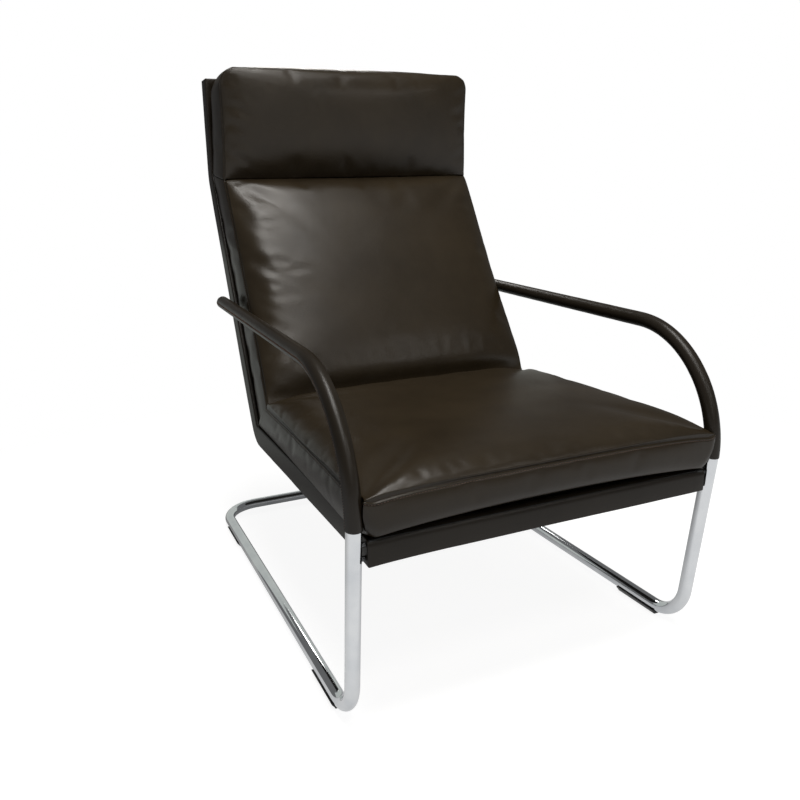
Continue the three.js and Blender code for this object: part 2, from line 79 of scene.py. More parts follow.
# Arm sleeves
SLEEVE_RADIUS = 13.8 * MM
SLEEVE_WALL = 1.1 * MM
SLEEVE_GAP = 17 * MM
SLEEVE_OVERRUN = 15 * MM
SLEEVE_PITCH = 5 * MM
SLEEVE_SIDES = 48
SLEEVE_DRIFT = 0.16 * MM
SEAM_PICK = 0.05 * MM
SEAM_GROOVE = 0.75 * MM
SEAM_LIP = 0.22 * MM
SEAM_TWIST = math.radians(15)
SEAM_TWIST_RUN = 90 * MM
SLEEVE_STITCH_PITCH = 4.2 * MM
SLEEVE_STITCH_LENGTH = 4.2 * MM
SLEEVE_STITCH_WIDTH = 1.0 * MM
SLEEVE_STITCH_LIFT = 0.05 * MM
SLEEVE_STITCH_START = 2 * MM
SLEEVE_STITCH_SLANT = 0.45
CAP_RADIUS = SLEEVE_RADIUS - 0.15 * MM
CAP_INSET = 2 * MM
CAP_REACH = 0.3 * MM
CAP_ROUND = 2.6 * MM

# Shell
SHELL_UNDERSIDE = 306 * MM
SHELL_DEPTH = 43 * MM
SHELL_FRONT = -(SHELL_UNDERSIDE - RUNNER_AXIS) * math.tan(UPRIGHT_LEAN) - 14.4 * MM
SHELL_BACK = SHELL_FRONT + 674 * MM
NECK_HEIGHT = SHELL_UNDERSIDE + 572 * MM
SHELL_TOP = NECK_HEIGHT + 222 * MM
SEAT_TOP = SHELL_UNDERSIDE + SHELL_DEPTH
SHELL_HALF = HALF_GAUGE - TUBE_RADIUS - 5.5 * MM
NECK_HALF = SHELL_HALF - 12 * MM
BACK_LEAN = math.radians(31)
HEAD_LEAN = math.radians(-4)
SEAT_BEND = 62 * MM
NECK_BEND = 72 * MM
COVER_WALL = 3 * MM
RIM_WIDTH = 22 * MM
SHELL_SOFT_EDGE = 13 * MM
CRISP_SHARE = 0.22
SHELL_PITCH = 22 * MM
LONG_EDGE = 60 * MM
SLOW_DENT = 0.5 * MM
QUICK_DENT = 0.25 * MM
CORNER_REACH = 50 * MM
CORNER_DROP = 2 * MM
CORNER_DIP = 3.5 * MM

# Spacers and glides
COLLAR_RADIUS = 4.2 * MM
COLLAR_BORE = 3.2 * MM
COLLAR_EDGE = 0.5 * MM
COLLAR_LENGTH = 17.7 * MM
COLLAR_SIDES = 32
COLLAR_GAP = 0.3 * MM
COLLAR_CLEAR = 0.1 * MM
GLIDE_LENGTH = 110 * MM
GLIDE_WALL = 3 * MM
GLIDE_CLEAR = 0.3 * MM
GLIDE_WRAP = 70
GLIDE_FOOT = 40
GLIDE_SOFT_EDGE = 0.8 * MM
HINGE_REACH = FRONT_BEND * math.tan((math.pi / 2 - UPRIGHT_LEAN) / 2)
GLIDES = {"front": HINGE_REACH + 44 * MM, "rear": REAR_BAR - 167 * MM}
SPACERS = {"upper": SEAT_TOP - 11 * MM, "lower": SHELL_UNDERSIDE + 8 * MM}

# Pads
SEAT_THICKNESS = 59 * MM
BACK_THICKNESS = 95 * MM
HEAD_THICKNESS = 122 * MM
PAD_GAP = 0.5 * MM
CREASE_GAP = 0.8 * MM
PAD_FRONT = SHELL_FRONT - 12 * MM
PAD_PITCH = 10 * MM
SEAM_LINES = [0, 1.5 * MM, 4.5 * MM, 10 * MM]
STITCH_LINE = 5 * MM
BOXING_LINES = np.array([0, 1.3, 2.8, 4.2, 5.0, 5.8, 8.5, 16]) * MM
BOXING_PITCH = 11 * MM
WAIST = 3 * MM
BOXING_SWELL = 4.5 * MM
LIP_SHARE = 0.12
UNDER_SPREAD = 18 * MM
TUCK_REACHES = (50 * MM, 110 * MM)
HANG_REACH = 13 * MM
CLOTH_FRAMES = 16
CLOTH_CAP = 9 * MM
SLEEVE_CLEAR = 0.6 * MM
BEND_CLEAR = 0.6 * MM
SEAM_HOLD = 2 * MM
STITCH_HOLD = 1.5 * MM
PAD_STITCH_PITCH = 5 * MM
PAD_STITCH_LENGTH = 3.6 * MM
PAD_STITCH_WIDTH = 1.1 * MM
PAD_STITCH_LIFT = 0.3 * MM
SEAM_FOLDS = [
    (0, -2.0 * MM, 1.3 * MM),
    (STITCH_LINE, -0.5 * MM, 0.9 * MM),
    (2.7 * MM, 0.9 * MM, 1.4 * MM),
    (-3.4 * MM, 0.5 * MM, 2.4 * MM),
]
GATHER = 0.3 * MM
SLOW_WAVE = 0.8 * MM
QUICK_WAVE = 0.25 * MM
STRONG_PULL = 1.6 * MM
WEAK_PULL = 0.6 * MM
BOXING_CALM = 0.35

SIDES = {"left": 1, "right": -1}


def place(y, z, x=0.0):
    """A point of the side profile, in the model's frame."""
    return Vector((x, y + PROFILE_SHIFT, z))


def upright_y(z):
    return -(z - RUNNER_AXIS) * math.tan(UPRIGHT_LEAN)


def upright_point(side, z):
    return place(upright_y(z), z, side * HALF_GAUGE)


UPRIGHT_WAY = Vector((0, -math.sin(UPRIGHT_LEAN), math.cos(UPRIGHT_LEAN)))
ARM_WAY = Vector((0, math.cos(ARM_RISE), math.sin(ARM_RISE)))
LEAN_RISE = math.tan(UPRIGHT_LEAN) * math.tan(ARM_RISE)
ARM_CORNER = (ARM_HEIGHT + RUNNER_AXIS * LEAN_RISE) / (1 + LEAN_RISE)
ARM_TURN = math.pi / 2 + UPRIGHT_LEAN - ARM_RISE
ARM_CURVE_REACH = (ARM_CORNER - SEAT_TOP - ARM_CURVE_GAP) / math.cos(UPRIGHT_LEAN)
ARM_CURVE = ARM_CURVE_REACH / math.tan(ARM_TURN / 2)


def arm_end(side):
    return place(ARM_REACH, ARM_HEIGHT + ARM_REACH * math.tan(ARM_RISE), side * HALF_GAUGE)


# Mesh helpers


def verts_in(geometry):
    return [g for g in geometry if isinstance(g, bmesh.types.BMVert)]


def edges_in(geometry):
    return [g for g in geometry if isinstance(g, bmesh.types.BMEdge)]


def ring(bm, centre, way, radius, sides):
    """A circle of edges across the given direction."""
    out = Vector((1, 0, 0)) if abs(way.x) < 0.5 else Vector((0, 0, 1))
    turn = Matrix((out, way.cross(out), way)).transposed().to_4x4()
    made = bmesh.ops.create_circle(
        bm, segments=sides, radius=radius, matrix=Matrix.Translation(centre) @ turn
    )
    return list({e for v in made["verts"] for e in v.link_edges})


def push_on(bm, loop, step):
    """Extrudes an edge loop by one step and gives the new loop."""
    made = bmesh.ops.extrude_edge_only(bm, edges=loop)["geom"]
    fresh = verts_in(made)
    bmesh.ops.translate(bm, verts=fresh, vec=step)
    kept = set(fresh)
    return [e for e in edges_in(made) if kept.issuperset(e.verts)]


def go_straight(bm, loop, run, pitch):
    """Extrudes an edge loop along a straight run, in steps of about the pitch."""
    count = max(1, round(run.length / pitch))
    for _ in range(count):
        loop = push_on(bm, loop, run / count)
    return loop


def go_round(bm, loop, centre, axis, turn, step):
    """Spins an edge loop about an axis, in steps of about the given angle."""
    verts = list({v for e in loop for v in e.verts})
    made = bmesh.ops.spin(
        bm, geom=verts + loop, cent=centre, axis=axis, angle=turn,
        steps=max(2, math.ceil(turn / step)), use_duplicate=False,
    )
    return edges_in(made["geom_last"])


def bends(corners, radii):
    """Start, end, centre, axis and turn of each round corner of a bent line."""
    for before, corner, after, radius in zip(corners, corners[1:], corners[2:], radii):
        way_in = (corner - before).normalized()
        way_out = (after - corner).normalized()
        turn = way_in.angle(way_out)
        axis = way_in.cross(way_out).normalized()
        start = corner - way_in * radius * math.tan(turn / 2)
        end = corner + way_out * radius * math.tan(turn / 2)
        yield start, end, start + axis.cross(way_in) * radius, axis, turn


def follow(bm, loop, corners, radii, pitch, step):
    """Draws an edge loop out along a bent line into a tube."""
    here = corners[0]
    for start, end, centre, axis, turn in bends(corners, radii):
        loop = go_straight(bm, loop, start - here, pitch)
        loop = go_round(bm, loop, centre, axis, turn, step)
        here = end
    return go_straight(bm, loop, corners[-1] - here, pitch)


def walk(corners, radii, pitch):
    """Evenly spaced points along a bent line, each with its direction."""
    legs = []
    here = corners[0]
    for start, end, centre, axis, turn in bends(corners, radii):
        legs.append((here, start, None, None, 0.0))
        legs.append((start, end, centre, axis, turn))
        here = end
    legs.append((here, corners[-1], None, None, 0.0))
    left = 0.0
    for start, end, centre, axis, turn in legs:
        arm = start - centre if centre else None
        length = turn * arm.length if centre else (end - start).length
        while left < length:
            share = left / length
            if centre:
                spun = Matrix.Rotation(turn * share, 3, axis) @ arm
                yield centre + spun, axis.cross(spun).normalized()
            else:
                yield start.lerp(end, share), (end - start).normalized()
            left += pitch
        left -= length


def close_loop(bm, loop, shoulder=0.0, way=None):
    """Caps an edge loop, with a rounded shoulder where its radius and direction are given."""
    if shoulder:
        verts = list({v for e in loop for v in e.verts})
        centre = sum((v.co for v in verts), Vector()) / len(verts)
        radius = (verts[0].co - centre).length
        for angle in (30, 60, 90):
            turn = math.radians(angle)
            loop = push_on(bm, loop, Vector())
            fresh = list({v for e in loop for v in e.verts})
            scale = (radius - shoulder * (1 - math.cos(turn))) / radius
            for v in fresh:
                spoke = (v.co - centre).normalized()
                flat = spoke - way * spoke.dot(way)
                v.co = centre + way * shoulder * math.sin(turn) + flat.normalized() * radius * scale
    bmesh.ops.contextual_create(bm, geom=loop)


def turned(bm, outline, centre, way, sides):
    """A closed outline of (radius, height) pairs, turned about a direction."""
    out = Vector((1, 0, 0)) if abs(way.x) < 0.5 else Vector((0, 0, 1))
    verts = [bm.verts.new(centre + out * r + way * h) for r, h in outline]
    pairs = zip(verts, verts[1:] + verts[:1])
    edges = [bm.edges.new(pair) for pair in pairs]
    bmesh.ops.spin(
        bm, geom=verts + edges, cent=centre, axis=way, angle=2 * math.pi, steps=sides,
        use_merge=True, use_duplicate=False,
    )


def finished(name, bm, material, body, node_names=(), flat_from=40):
    """Turns a bmesh into a piece of the chair, with sharp edges from an angle in degrees."""
    bmesh.ops.remove_doubles(bm, verts=bm.verts, dist=SAME_PLACE)
    bmesh.ops.recalc_face_normals(bm, faces=bm.faces)
    mesh = bpy.data.meshes.new(name)
    bm.to_mesh(mesh)
    bm.free()
    return dressed(name, mesh, material, body, node_names, flat_from)


def dressed(name, mesh, material, body, node_names=(), flat_from=40):
    piece = bpy.data.objects.new(name, mesh)
    bpy.context.scene.collection.objects.link(piece)
    mesh.materials.append(material)
    mesh.shade_smooth()
    mesh.set_sharp_from_angle(angle=math.radians(flat_from))
    if body:
        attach(piece, body)
    if node_names:
        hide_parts(*node_names)
    return piece


def give_wall(piece, thickness):
    """An inner wall under a leather cover."""
    wall = piece.modifiers.new("wall", "SOLIDIFY")
    wall.thickness = thickness
    wall.offset = -1


# Materials


def blank_material(name, roughness, metallic=0.0):
    material = bpy.data.materials.new(name)
    material.use_nodes = True
    nodes = material.node_tree.nodes
    shader = nodes["Principled BSDF"]
    shader.inputs["Roughness"].default_value = roughness
    shader.inputs["Metallic"].default_value = metallic
    return material, nodes, material.node_tree.links, shader


def pattern(nodes, links, kind, scale, **settings):
    """A texture node on the piece's own coordinates."""
    node = nodes.new(kind)
    found = nodes.get("Texture Coordinate")
    source = found or nodes.new("ShaderNodeTexCoord")
    links.new(source.outputs["Object"], node.inputs["Vector"])
    node.inputs["Scale"].default_value = scale
    for key, value in settings.items():
        node.inputs[key].default_value = value
    return node


def ramp(nodes, links, source, stops):
    node = nodes.new("ShaderNodeValToRGB")
    links.new(source, node.inputs["Fac"])
    elements = node.color_ramp.elements
    while len(elements) < len(stops):
        elements.new(1.0)
    for element, (at, color) in zip(elements, stops):
        element.position = at
        element.color = (*color, 1)
    return node.outputs["Color"]


def tint(nodes, links, shader, source, stops):
    """Colours the surface by a pattern."""
    links.new(ramp(nodes, links, source, stops), shader.inputs["Base Color"])


def level(nodes, links, source, low, high, start=0.0, end=1.0):
    """Turns a source that runs from start to end into one that runs from low to high."""
    node = nodes.new("ShaderNodeMapRange")
    links.new(source, node.inputs["Value"])
    node.inputs["From Min"].default_value = start
    node.inputs["From Max"].default_value = end
    node.inputs["To Min"].default_value = low
    if isinstance(high, bpy.types.NodeSocket):
        links.new(high, node.inputs["To Max"])
    else:
        node.inputs["To Max"].default_value = high
    return node.outputs["Result"]


def worked(nodes, links, operation, first, second):
    """Works out one number from two sources."""
    node = nodes.new("ShaderNodeMath")
    node.operation = operation
    links.new(first, node.inputs[0])
    links.new(second, node.inputs[1])
    return node.outputs[0]


def raise_bump(nodes, links, shader, layers):
    """Stacks bump layers of (height output, strength, distance)."""
    last = None
    for height, strength, distance in layers:
        bump = nodes.new("ShaderNodeBump")
        bump.inputs["Strength"].default_value = strength
        bump.inputs["Distance"].default_value = distance
        links.new(height, bump.inputs["Height"])
        if last:
            links.new(last, bump.inputs["Normal"])
        last = bump.outputs["Normal"]
    links.new(last, shader.inputs["Normal"])
    if shader.inputs["Coat Weight"].default_value:
        links.new(last, shader.inputs["Coat Normal"])


def leather_material(name, dark, light, roughness, shine):
    """Grained leather: a dull hide under a thin finish that carries the shine."""
    material, nodes, links, shader = blank_material(name, roughness[0])
    shader.inputs["Specular IOR Level"].default_value = 0.0
    shader.inputs["Coat Weight"].default_value = shine
    shader.inputs["Coat Roughness"].default_value = sum(roughness) / 2
    patches = pattern(nodes, links, "ShaderNodeTexNoise", 9, Detail=5, Roughness=0.6)
    pores = pattern(nodes, links, "ShaderNodeTexVoronoi", 780)
    creases = pattern(nodes, links, "ShaderNodeTexNoise", 150, Detail=4, Distortion=1.2)
    tint(nodes, links, shader, patches.outputs["Fac"], [(0.3, dark), (0.7, light)])
    rough = level(nodes, links, creases.outputs["Fac"], *roughness)
    links.new(rough, shader.inputs["Roughness"])
    raise_bump(nodes, links, shader, [
        (pores.outputs["Distance"], 0.35, 0.25 * MM),
        (creases.outputs["Fac"], 0.3, 0.5 * MM),
    ])
    return material


def chrome_material():
    material, nodes, links, shader = blank_material("bright_chrome", 0.06, 1.0)
    film = pattern(nodes, links, "ShaderNodeTexNoise", 22, Detail=3)
    rubs = pattern(nodes, links, "ShaderNodeTexNoise", 420, Detail=2, Distortion=2)
    tones = [(0.3, (0.57, 0.59, 0.615)), (0.75, (0.665, 0.68, 0.695))]
    tint(nodes, links, shader, film.outputs["Fac"], tones)
    rough = level(nodes, links, rubs.outputs["Fac"], 0.04, 0.11)
    links.new(rough, shader.inputs["Roughness"])
    return material


def shade_darkened_steel_material():
    material, nodes, links, shader = blank_material("steel_darkened_for_shade", 0.4, 0.9)
    grain = pattern(nodes, links, "ShaderNodeTexNoise", 260, Detail=4)
    # Near-black tones: painted shade, for collars that sit in the dark gap between the shell and the
    # uprights.
    tones = [(0.35, (0.07, 0.072, 0.075)), (0.7, (0.12, 0.123, 0.127))]
    tint(nodes, links, shader, grain.outputs["Fac"], tones)
    links.new(level(nodes, links, grain.outputs["Fac"], 0.32, 0.5), shader.inputs["Roughness"])
    return material


def plastic_material():
    material, nodes, links, shader = blank_material("black_glide_plastic", 0.45)
    speck = pattern(nodes, links, "ShaderNodeTexNoise", 900, Detail=2)
    tones = [(0.3, (0.006, 0.006, 0.006)), (0.7, (0.014, 0.014, 0.014))]
    tint(nodes, links, shader, speck.outputs["Fac"], tones)
    raise_bump(nodes, links, shader, [(speck.outputs["Fac"], 0.25, 0.1 * MM)])
    return material


def woven_material(name, dark, light, scale):
    material, nodes, links, shader = blank_material(name, 0.9)
    warp = pattern(nodes, links, "ShaderNodeTexWave", scale)
    weft = pattern(nodes, links, "ShaderNodeTexWave", scale)
    weft.bands_direction = "Y"
    weave = worked(nodes, links, "MULTIPLY", warp.outputs["Fac"], weft.outputs["Fac"])
    tint(nodes, links, shader, weave, [(0.1, dark), (0.9, light)])
    raise_bump(nodes, links, shader, [(weave, 0.5, 0.4 * MM)])
    return material


def thread_material():
    material, nodes, links, shader = blank_material("seam_thread", 0.6)
    twist = pattern(nodes, links, "ShaderNodeTexNoise", 1500, Detail=2)
    tones = [(0.3, (0.105, 0.060, 0.040)), (0.7, (0.19, 0.115, 0.078))]
    tint(nodes, links, shader, twist.outputs["Fac"], tones)
    return material


PAD_LEATHER = leather_material(
    "pad_leather", (0.0215, 0.0150, 0.0078), (0.0312, 0.0223, 0.0120), (0.28, 0.35), shine=0.6
)
ARM_LEATHER = leather_material(
    "arm_leather", (0.0160, 0.0120, 0.0078), (0.0232, 0.0180, 0.0122), (0.29, 0.36), shine=0.55
)
SHELL_LEATHER = leather_material(
    "shell_leather", (0.0160, 0.0121, 0.0080), (0.0235, 0.0182, 0.0125), (0.34, 0.40), shine=0.5
)
CHROME = chrome_material()
# Steel painted dark as shade: used for the collars in the gap by the uprights and for solids without a
# finish of their own.
SHADE_DARKENED_STEEL = shade_darkened_steel_material()
PLASTIC = plastic_material()
THREAD = thread_material()
WEBBING = woven_material("elastic_webbing", (0.008, 0.008, 0.008), (0.03, 0.03, 0.029), 900)
LINING = woven_material("lining_cloth", (0.006, 0.006, 0.006), (0.02, 0.02, 0.02), 1400)


# Stitches


def stitch_row(name, seats, length, thickness):
    """A row of thread stitches. Each seat is (middle, direction, outward)."""
    mesh = bpy.data.meshes.new(name)
    whole = bmesh.new()
    for first in range(0, len(seats), 40):
        part = bmesh.new()
        for middle, way, out in seats[first:first + 40]:
            side = way.cross(out).normalized()
            up = side.cross(way).normalized()
            turn = Matrix((side, up, way)).transposed().to_4x4()
            size = Matrix.Diagonal((thickness / 2, thickness / 2, length / 2, 1))
            bmesh.ops.create_uvsphere(
                part, u_segments=6, v_segments=4, radius=1,
                matrix=Matrix.Translation(middle) @ turn @ size,
            )
        part.to_mesh(mesh)
        part.free()
        whole.from_mesh(mesh)
    whole.to_mesh(mesh)
    whole.free()
    dressed(name, mesh, THREAD, "seat_unit", flat_from=180)


# Frame tubes, in one piece a side, built stiff; the real chair springs where the front bend ends


def add_frame_tube(name, side):
    corners = [
        place(REAR_BAR, RUNNER_AXIS, side * BAR_JOINT_GAP / 2),
        place(REAR_BAR, RUNNER_AXIS, side * HALF_GAUGE),
        upright_point(side, RUNNER_AXIS),
        upright_point(side, ARM_CORNER),
        arm_end(side),
    ]
    radii = [REAR_BEND, FRONT_BEND, ARM_CURVE]
    bm = bmesh.new()
    start = ring(bm, corners[0], Vector((side, 0, 0)), TUBE_RADIUS, TUBE_SIDES)
    end = follow(bm, start, corners, radii, TUBE_PITCH, BEND_PITCH)
    close_loop(bm, start)
    close_loop(bm, end)
    nodes = (f"{name}_floor_tube", f"{name}_arm_tube")
    tube = finished(f"{name}_frame_tube", bm, CHROME, None, nodes)
    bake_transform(tube)


# Arm sleeves: leather drawn round the tube, its edges sewn together on the outer side


def sleeve_line(side):
    corners = [
        upright_point(side, SEAT_TOP + SLEEVE_GAP - SLEEVE_OVERRUN),
        upright_point(side, ARM_CORNER),
        arm_end(side),
    ]
    return corners, [ARM_CURVE]


def seam_turn(side, point):
    """How far the sewn edge is turned to the front at a height of the upright: a rotation about it."""
    straight = ARM_CORNER - ARM_CURVE * math.tan(ARM_TURN / 2)
    share = max(0.0, min(1.0, (straight - point.z) / SEAM_TWIST_RUN))
    share = share * share * (3 - 2 * share)
    return Matrix.Rotation(-side * SEAM_TWIST * share, 3, UPRIGHT_WAY)


def add_arm_sleeve(name, side):
    corners, radii = sleeve_line(side)
    bm = bmesh.new()
    inner = ring(bm, corners[0], UPRIGHT_WAY, SLEEVE_RADIUS, SLEEVE_SIDES)
    follow(bm, inner, corners, radii, SLEEVE_PITCH, SLEEVE_PITCH / ARM_CURVE)
    low = upright_point(side, SEAT_TOP + SLEEVE_GAP)
    bmesh.ops.bisect_plane(
        bm, geom=list(bm.verts) + list(bm.edges) + list(bm.faces), dist=SAME_PLACE,
        plane_co=low, plane_no=UPRIGHT_WAY, clear_inner=True,
    )
    bm.normal_update()
    seam_x = HALF_GAUGE + SLEEVE_RADIUS - SEAM_PICK
    lip_x = HALF_GAUGE + SLEEVE_RADIUS * math.cos(2 * math.pi / SLEEVE_SIDES) - SEAM_PICK
    for v in bm.verts:
        drift = noise.noise(v.co * 34) * SLEEVE_DRIFT
        if abs(v.co.x) > seam_x:
            drift -= SEAM_GROOVE
        elif abs(v.co.x) > lip_x:
            drift += SEAM_LIP
        v.co += v.normal * drift
        axis = upright_point(side, v.co.z)
        v.co = axis + seam_turn(side, v.co) @ (v.co - axis)
    sleeve = finished(
        f"{name}_arm_sleeve_leather", bm, ARM_LEATHER, "seat_unit",
        (f"{name}_arm_sleeve",), flat_from=60,
    )
    give_wall(sleeve, SLEEVE_WALL)


def add_sleeve_stitches(name, side):
    corners, radii = sleeve_line(side)
    low = upright_point(side, SEAT_TOP + SLEEVE_GAP)
    seats = []
    for point, way in walk(corners, radii, SLEEVE_STITCH_PITCH):
        out = seam_turn(side, point) @ Vector((side, 0, 0))
        if (point - low).dot(UPRIGHT_WAY) < SLEEVE_STITCH_START and way.z > 0.5:
            continue
        across = way.cross(out)
        slant = (across + way * SLEEVE_STITCH_SLANT).normalized()
        seats.append((point + out * (SLEEVE_RADIUS + SLEEVE_STITCH_LIFT), slant, out))
    stitch_row(f"{name}_arm_sleeve_stitches", seats, SLEEVE_STITCH_LENGTH, SLEEVE_STITCH_WIDTH)


def add_arm_cap(name, side):
    centre = arm_end(side)
    bm = bmesh.new()
    loop = ring(bm, centre - ARM_WAY * CAP_INSET, ARM_WAY, CAP_RADIUS, SLEEVE_SIDES)
    loop = push_on(bm, loop, ARM_WAY * (CAP_INSET + CAP_REACH))
    close_loop(bm, loop, CAP_ROUND, ARM_WAY)
    finished(
        f"{name}_arm_cap", bm, ARM_LEATHER, "seat_unit",
        (f"{name}_arm_plug",), flat_from=60,
    )


# Side profile of the shell


def direction(lean):
    return Vector((math.sin(lean), math.cos(lean)))


SEAT_WAY = Vector((1, 0))
BACK_WAY = direction(BACK_LEAN)
HEAD_WAY = direction(HEAD_LEAN)
NECK_Y = SHELL_BACK + (NECK_HEIGHT - SHELL_UNDERSIDE) * math.tan(BACK_LEAN)
SEAT_ANCHOR = Vector((SHELL_BACK, SHELL_UNDERSIDE))
NECK_ANCHOR = Vector((NECK_Y, NECK_HEIGHT))


def inward(way):
    return Vector((-way.y, way.x))


def line_at(anchor, way, offset):
    return anchor + inward(way) * offset, way


def seat_line(offset):
    return line_at(SEAT_ANCHOR, SEAT_WAY, offset)


def back_line(offset):
    return line_at(SEAT_ANCHOR, BACK_WAY, offset)


def head_line(offset):
    return line_at(NECK_ANCHOR, HEAD_WAY, offset)


def level_line(z):
    return Vector((0, z)), SEAT_WAY


def crossing(first, second):
    """Where two lines of the side profile meet, each an anchor and a direction."""
    (p, d), (q, e) = first, second
    return p + d * ((q - p).cross(e) / d.cross(e))


def fillet(corner, before, after, radius, steps):
    """Points of the round corner between two directions of the side profile."""
    turn = before.angle(after)
    start = corner - before * radius * math.tan(turn / 2)
    side = inward(before)
    angles = [turn * i / steps for i in range(steps + 1)]
    return [start + side * radius * (1 - math.cos(t)) + before * radius * math.sin(t) for t in angles]


def shell_line(offset, steps=12):
    """The shell's profile, offset towards the sitter."""
    seat_corner = crossing(seat_line(offset), back_line(offset))
    neck_corner = crossing(back_line(offset), head_line(offset))
    top = crossing(head_line(offset), level_line(SHELL_TOP))
    return [
        Vector((SHELL_FRONT, SHELL_UNDERSIDE + offset)),
        *fillet(seat_corner, SEAT_WAY, BACK_WAY, SEAT_BEND - offset, steps),
        *fillet(neck_corner, BACK_WAY, HEAD_WAY, NECK_BEND - offset, steps),
        top,
    ]


def width_share(z):
    """The shell's width at a height, as a share of its width at the seat."""
    rise = min(max((z - SEAT_TOP) / (NECK_HEIGHT - SEAT_TOP), 0), 1)
    return 1 - rise * (1 - NECK_HALF / SHELL_HALF)


def narrow(bm):
    for v in bm.verts:
        v.co.x *= width_share(v.co.z)


def soften_edges(name, bm, width):
    """Rounds the edges by their own weights, and gives the result as a new bmesh."""
    mesh = bpy.data.meshes.new(name)
    bm.to_mesh(mesh)
    bm.free()
    blank = bpy.data.objects.new(name, mesh)
    bpy.context.scene.collection.objects.link(blank)
    bevel = blank.modifiers.new("bevel", "BEVEL")
    bevel.limit_method = "WEIGHT"
    bevel.width = width
    bevel.segments = 4
    bevel.use_clamp_overlap = False
    graph = bpy.context.evaluated_depsgraph_get()
    made = bmesh.new()
    made.from_mesh(blank.evaluated_get(graph).data)
    bpy.data.objects.remove(blank)
    bpy.data.meshes.remove(mesh)
    return made


def split_long(bm, length, pitch):
    """Cuts edges past a length into even steps, so that the leather can dip a little between them."""
    for axis in (0, 1):
        groups = {}
        for e in bm.edges:
            run = e.verts[0].co - e.verts[1].co
            across = abs(run.x) > 0.9 * run.length
            if run.length > length and across == (axis == 0):
                groups.setdefault(round(run.length / pitch), []).append(e)
        for cells, edges in groups.items():
            bmesh.ops.subdivide_edges(bm, edges=edges, cuts=cells - 1, use_grid_fill=True)


def corner_sag(co, amount):
    """How far a point of the shell sags with the front corners of the seat."""
    run = co.y - place(SHELL_FRONT, 0).y
    return amount * min(1, abs(co.x) / SHELL_HALF) ** 6 * math.exp(-(run / CORNER_REACH) ** 2)


def add_shell():
    bm = bmesh.new()
    outline = shell_line(0) + shell_line(SHELL_DEPTH)[::-1]
    verts = [bm.verts.new(place(p.x, p.y, -SHELL_HALF)) for p in outline]
    face = bm.faces.new(verts)
    made = bmesh.ops.extrude_face_region(bm, geom=[face])["geom"]
    bmesh.ops.translate(bm, verts=verts_in(made), vec=Vector((2 * SHELL_HALF, 0, 0)))
    bm.normal_update()
    weight = bm.edges.layers.float.new("bevel_weight_edge")
    for e in bm.edges:
        if e.calc_face_angle(0) < math.radians(60):
            continue
        ends = [v.co for v in e.verts]
        nose = all(c.y < place(SHELL_FRONT, 0).y + MM and c.z > SEAT_TOP - MM for c in ends)
        e[weight] = 1.0 if nose else CRISP_SHARE
    bm = soften_edges("shell_blank", bm, SHELL_SOFT_EDGE)
    mouth = [
        (Vector((SHELL_HALF - RIM_WIDTH, 0, 0)), Vector((1, 0, 0))),
        (Vector((RIM_WIDTH - SHELL_HALF, 0, 0)), Vector((1, 0, 0))),
        (place(SHELL_FRONT + RIM_WIDTH, 0), Vector((0, 1, 0))),
        (place(0, SHELL_TOP - RIM_WIDTH), Vector((0, 0, 1))),
    ]
    for point, way in mouth:
        whole = list(bm.verts) + list(bm.edges) + list(bm.faces)
        bmesh.ops.bisect_plane(bm, geom=whole, plane_co=point, plane_no=way)
    bm.normal_update()
    opened = [f for f in bm.faces if in_mouth(f)]
    bmesh.ops.delete(bm, geom=opened, context="FACES")
    split_long(bm, LONG_EDGE, SHELL_PITCH)
    bm.normal_update()
    for v in bm.verts:
        v.co += v.normal * (noise.noise(v.co * 7) * SLOW_DENT + noise.noise(v.co * 23) * QUICK_DENT)
        height = max(0.0, min(1.0, (v.co.z - SHELL_UNDERSIDE) / SHELL_DEPTH))
        v.co.z -= corner_sag(v.co, CORNER_DROP) * height ** 2
        if v.co.x < 0:
            v.co.z -= corner_sag(v.co, CORNER_DIP) * (1 - height) ** 2
    narrow(bm)
    shell = finished(
        "shell_leather_cover", bm, SHELL_LEATHER, "seat_unit", ("shell_cover",)
    )
    give_wall(shell, COVER_WALL)


def in_mouth(face):
    """True for a face of the shell's inner side that lies inside its rim."""
    c = face.calc_center_median()
    point = Vector((c.y - PROFILE_SHIFT, c.z))
    facing = Vector((face.normal.y, face.normal.z))
    inner = max(facing.dot(inward(way)) for way in (SEAT_WAY, BACK_WAY, HEAD_WAY)) > 0.9
    return (
        inner
        and abs(c.x) < SHELL_HALF - RIM_WIDTH
        and point.x > SHELL_FRONT + RIM_WIDTH
        and point.y < SHELL_TOP - RIM_WIDTH
    )


# Small fittings


def add_spacer(name, side, which, z):
    """A short collar between the shell and an upright, hollowed to the tube at its outer end. Its steel is
    painted near black, as painted shade for the gap it sits in.
    """
    middle = upright_point(side, z)
    start = Vector((side * (SHELL_HALF + COLLAR_GAP), middle.y, middle.z))
    way = Vector((side, 0, 0))
    outline = [
        (COLLAR_BORE, 0),
        (COLLAR_RADIUS - COLLAR_EDGE, 0),
        (COLLAR_RADIUS, COLLAR_EDGE),
        (COLLAR_RADIUS, COLLAR_LENGTH),
        (COLLAR_BORE, COLLAR_LENGTH),
    ]
    bm = bmesh.new()
    turned(bm, outline, start, way, COLLAR_SIDES)
    clear = TUBE_RADIUS + COLLAR_CLEAR
    across = UPRIGHT_WAY.cross(way)
    for v in bm.verts:
        off = (v.co - middle).dot(across)
        reach = HALF_GAUGE - math.sqrt(clear * clear - min(off * off, clear * clear))
        v.co.x = side * min(abs(v.co.x), reach)
    node = f"{name}_{which}_spacer"
    finished(f"{name}_{which}_collar", bm, SHADE_DARKENED_STEEL, "seat_unit", (node,))


def arc_points(radius, start, end, count):
    """Points of an arc from one angle to another, in degrees from straight down."""
    angles = [math.radians(start + (end - start) * i / count) for i in range(count + 1)]
    return [(radius * math.sin(t), -radius * math.cos(t)) for t in angles]


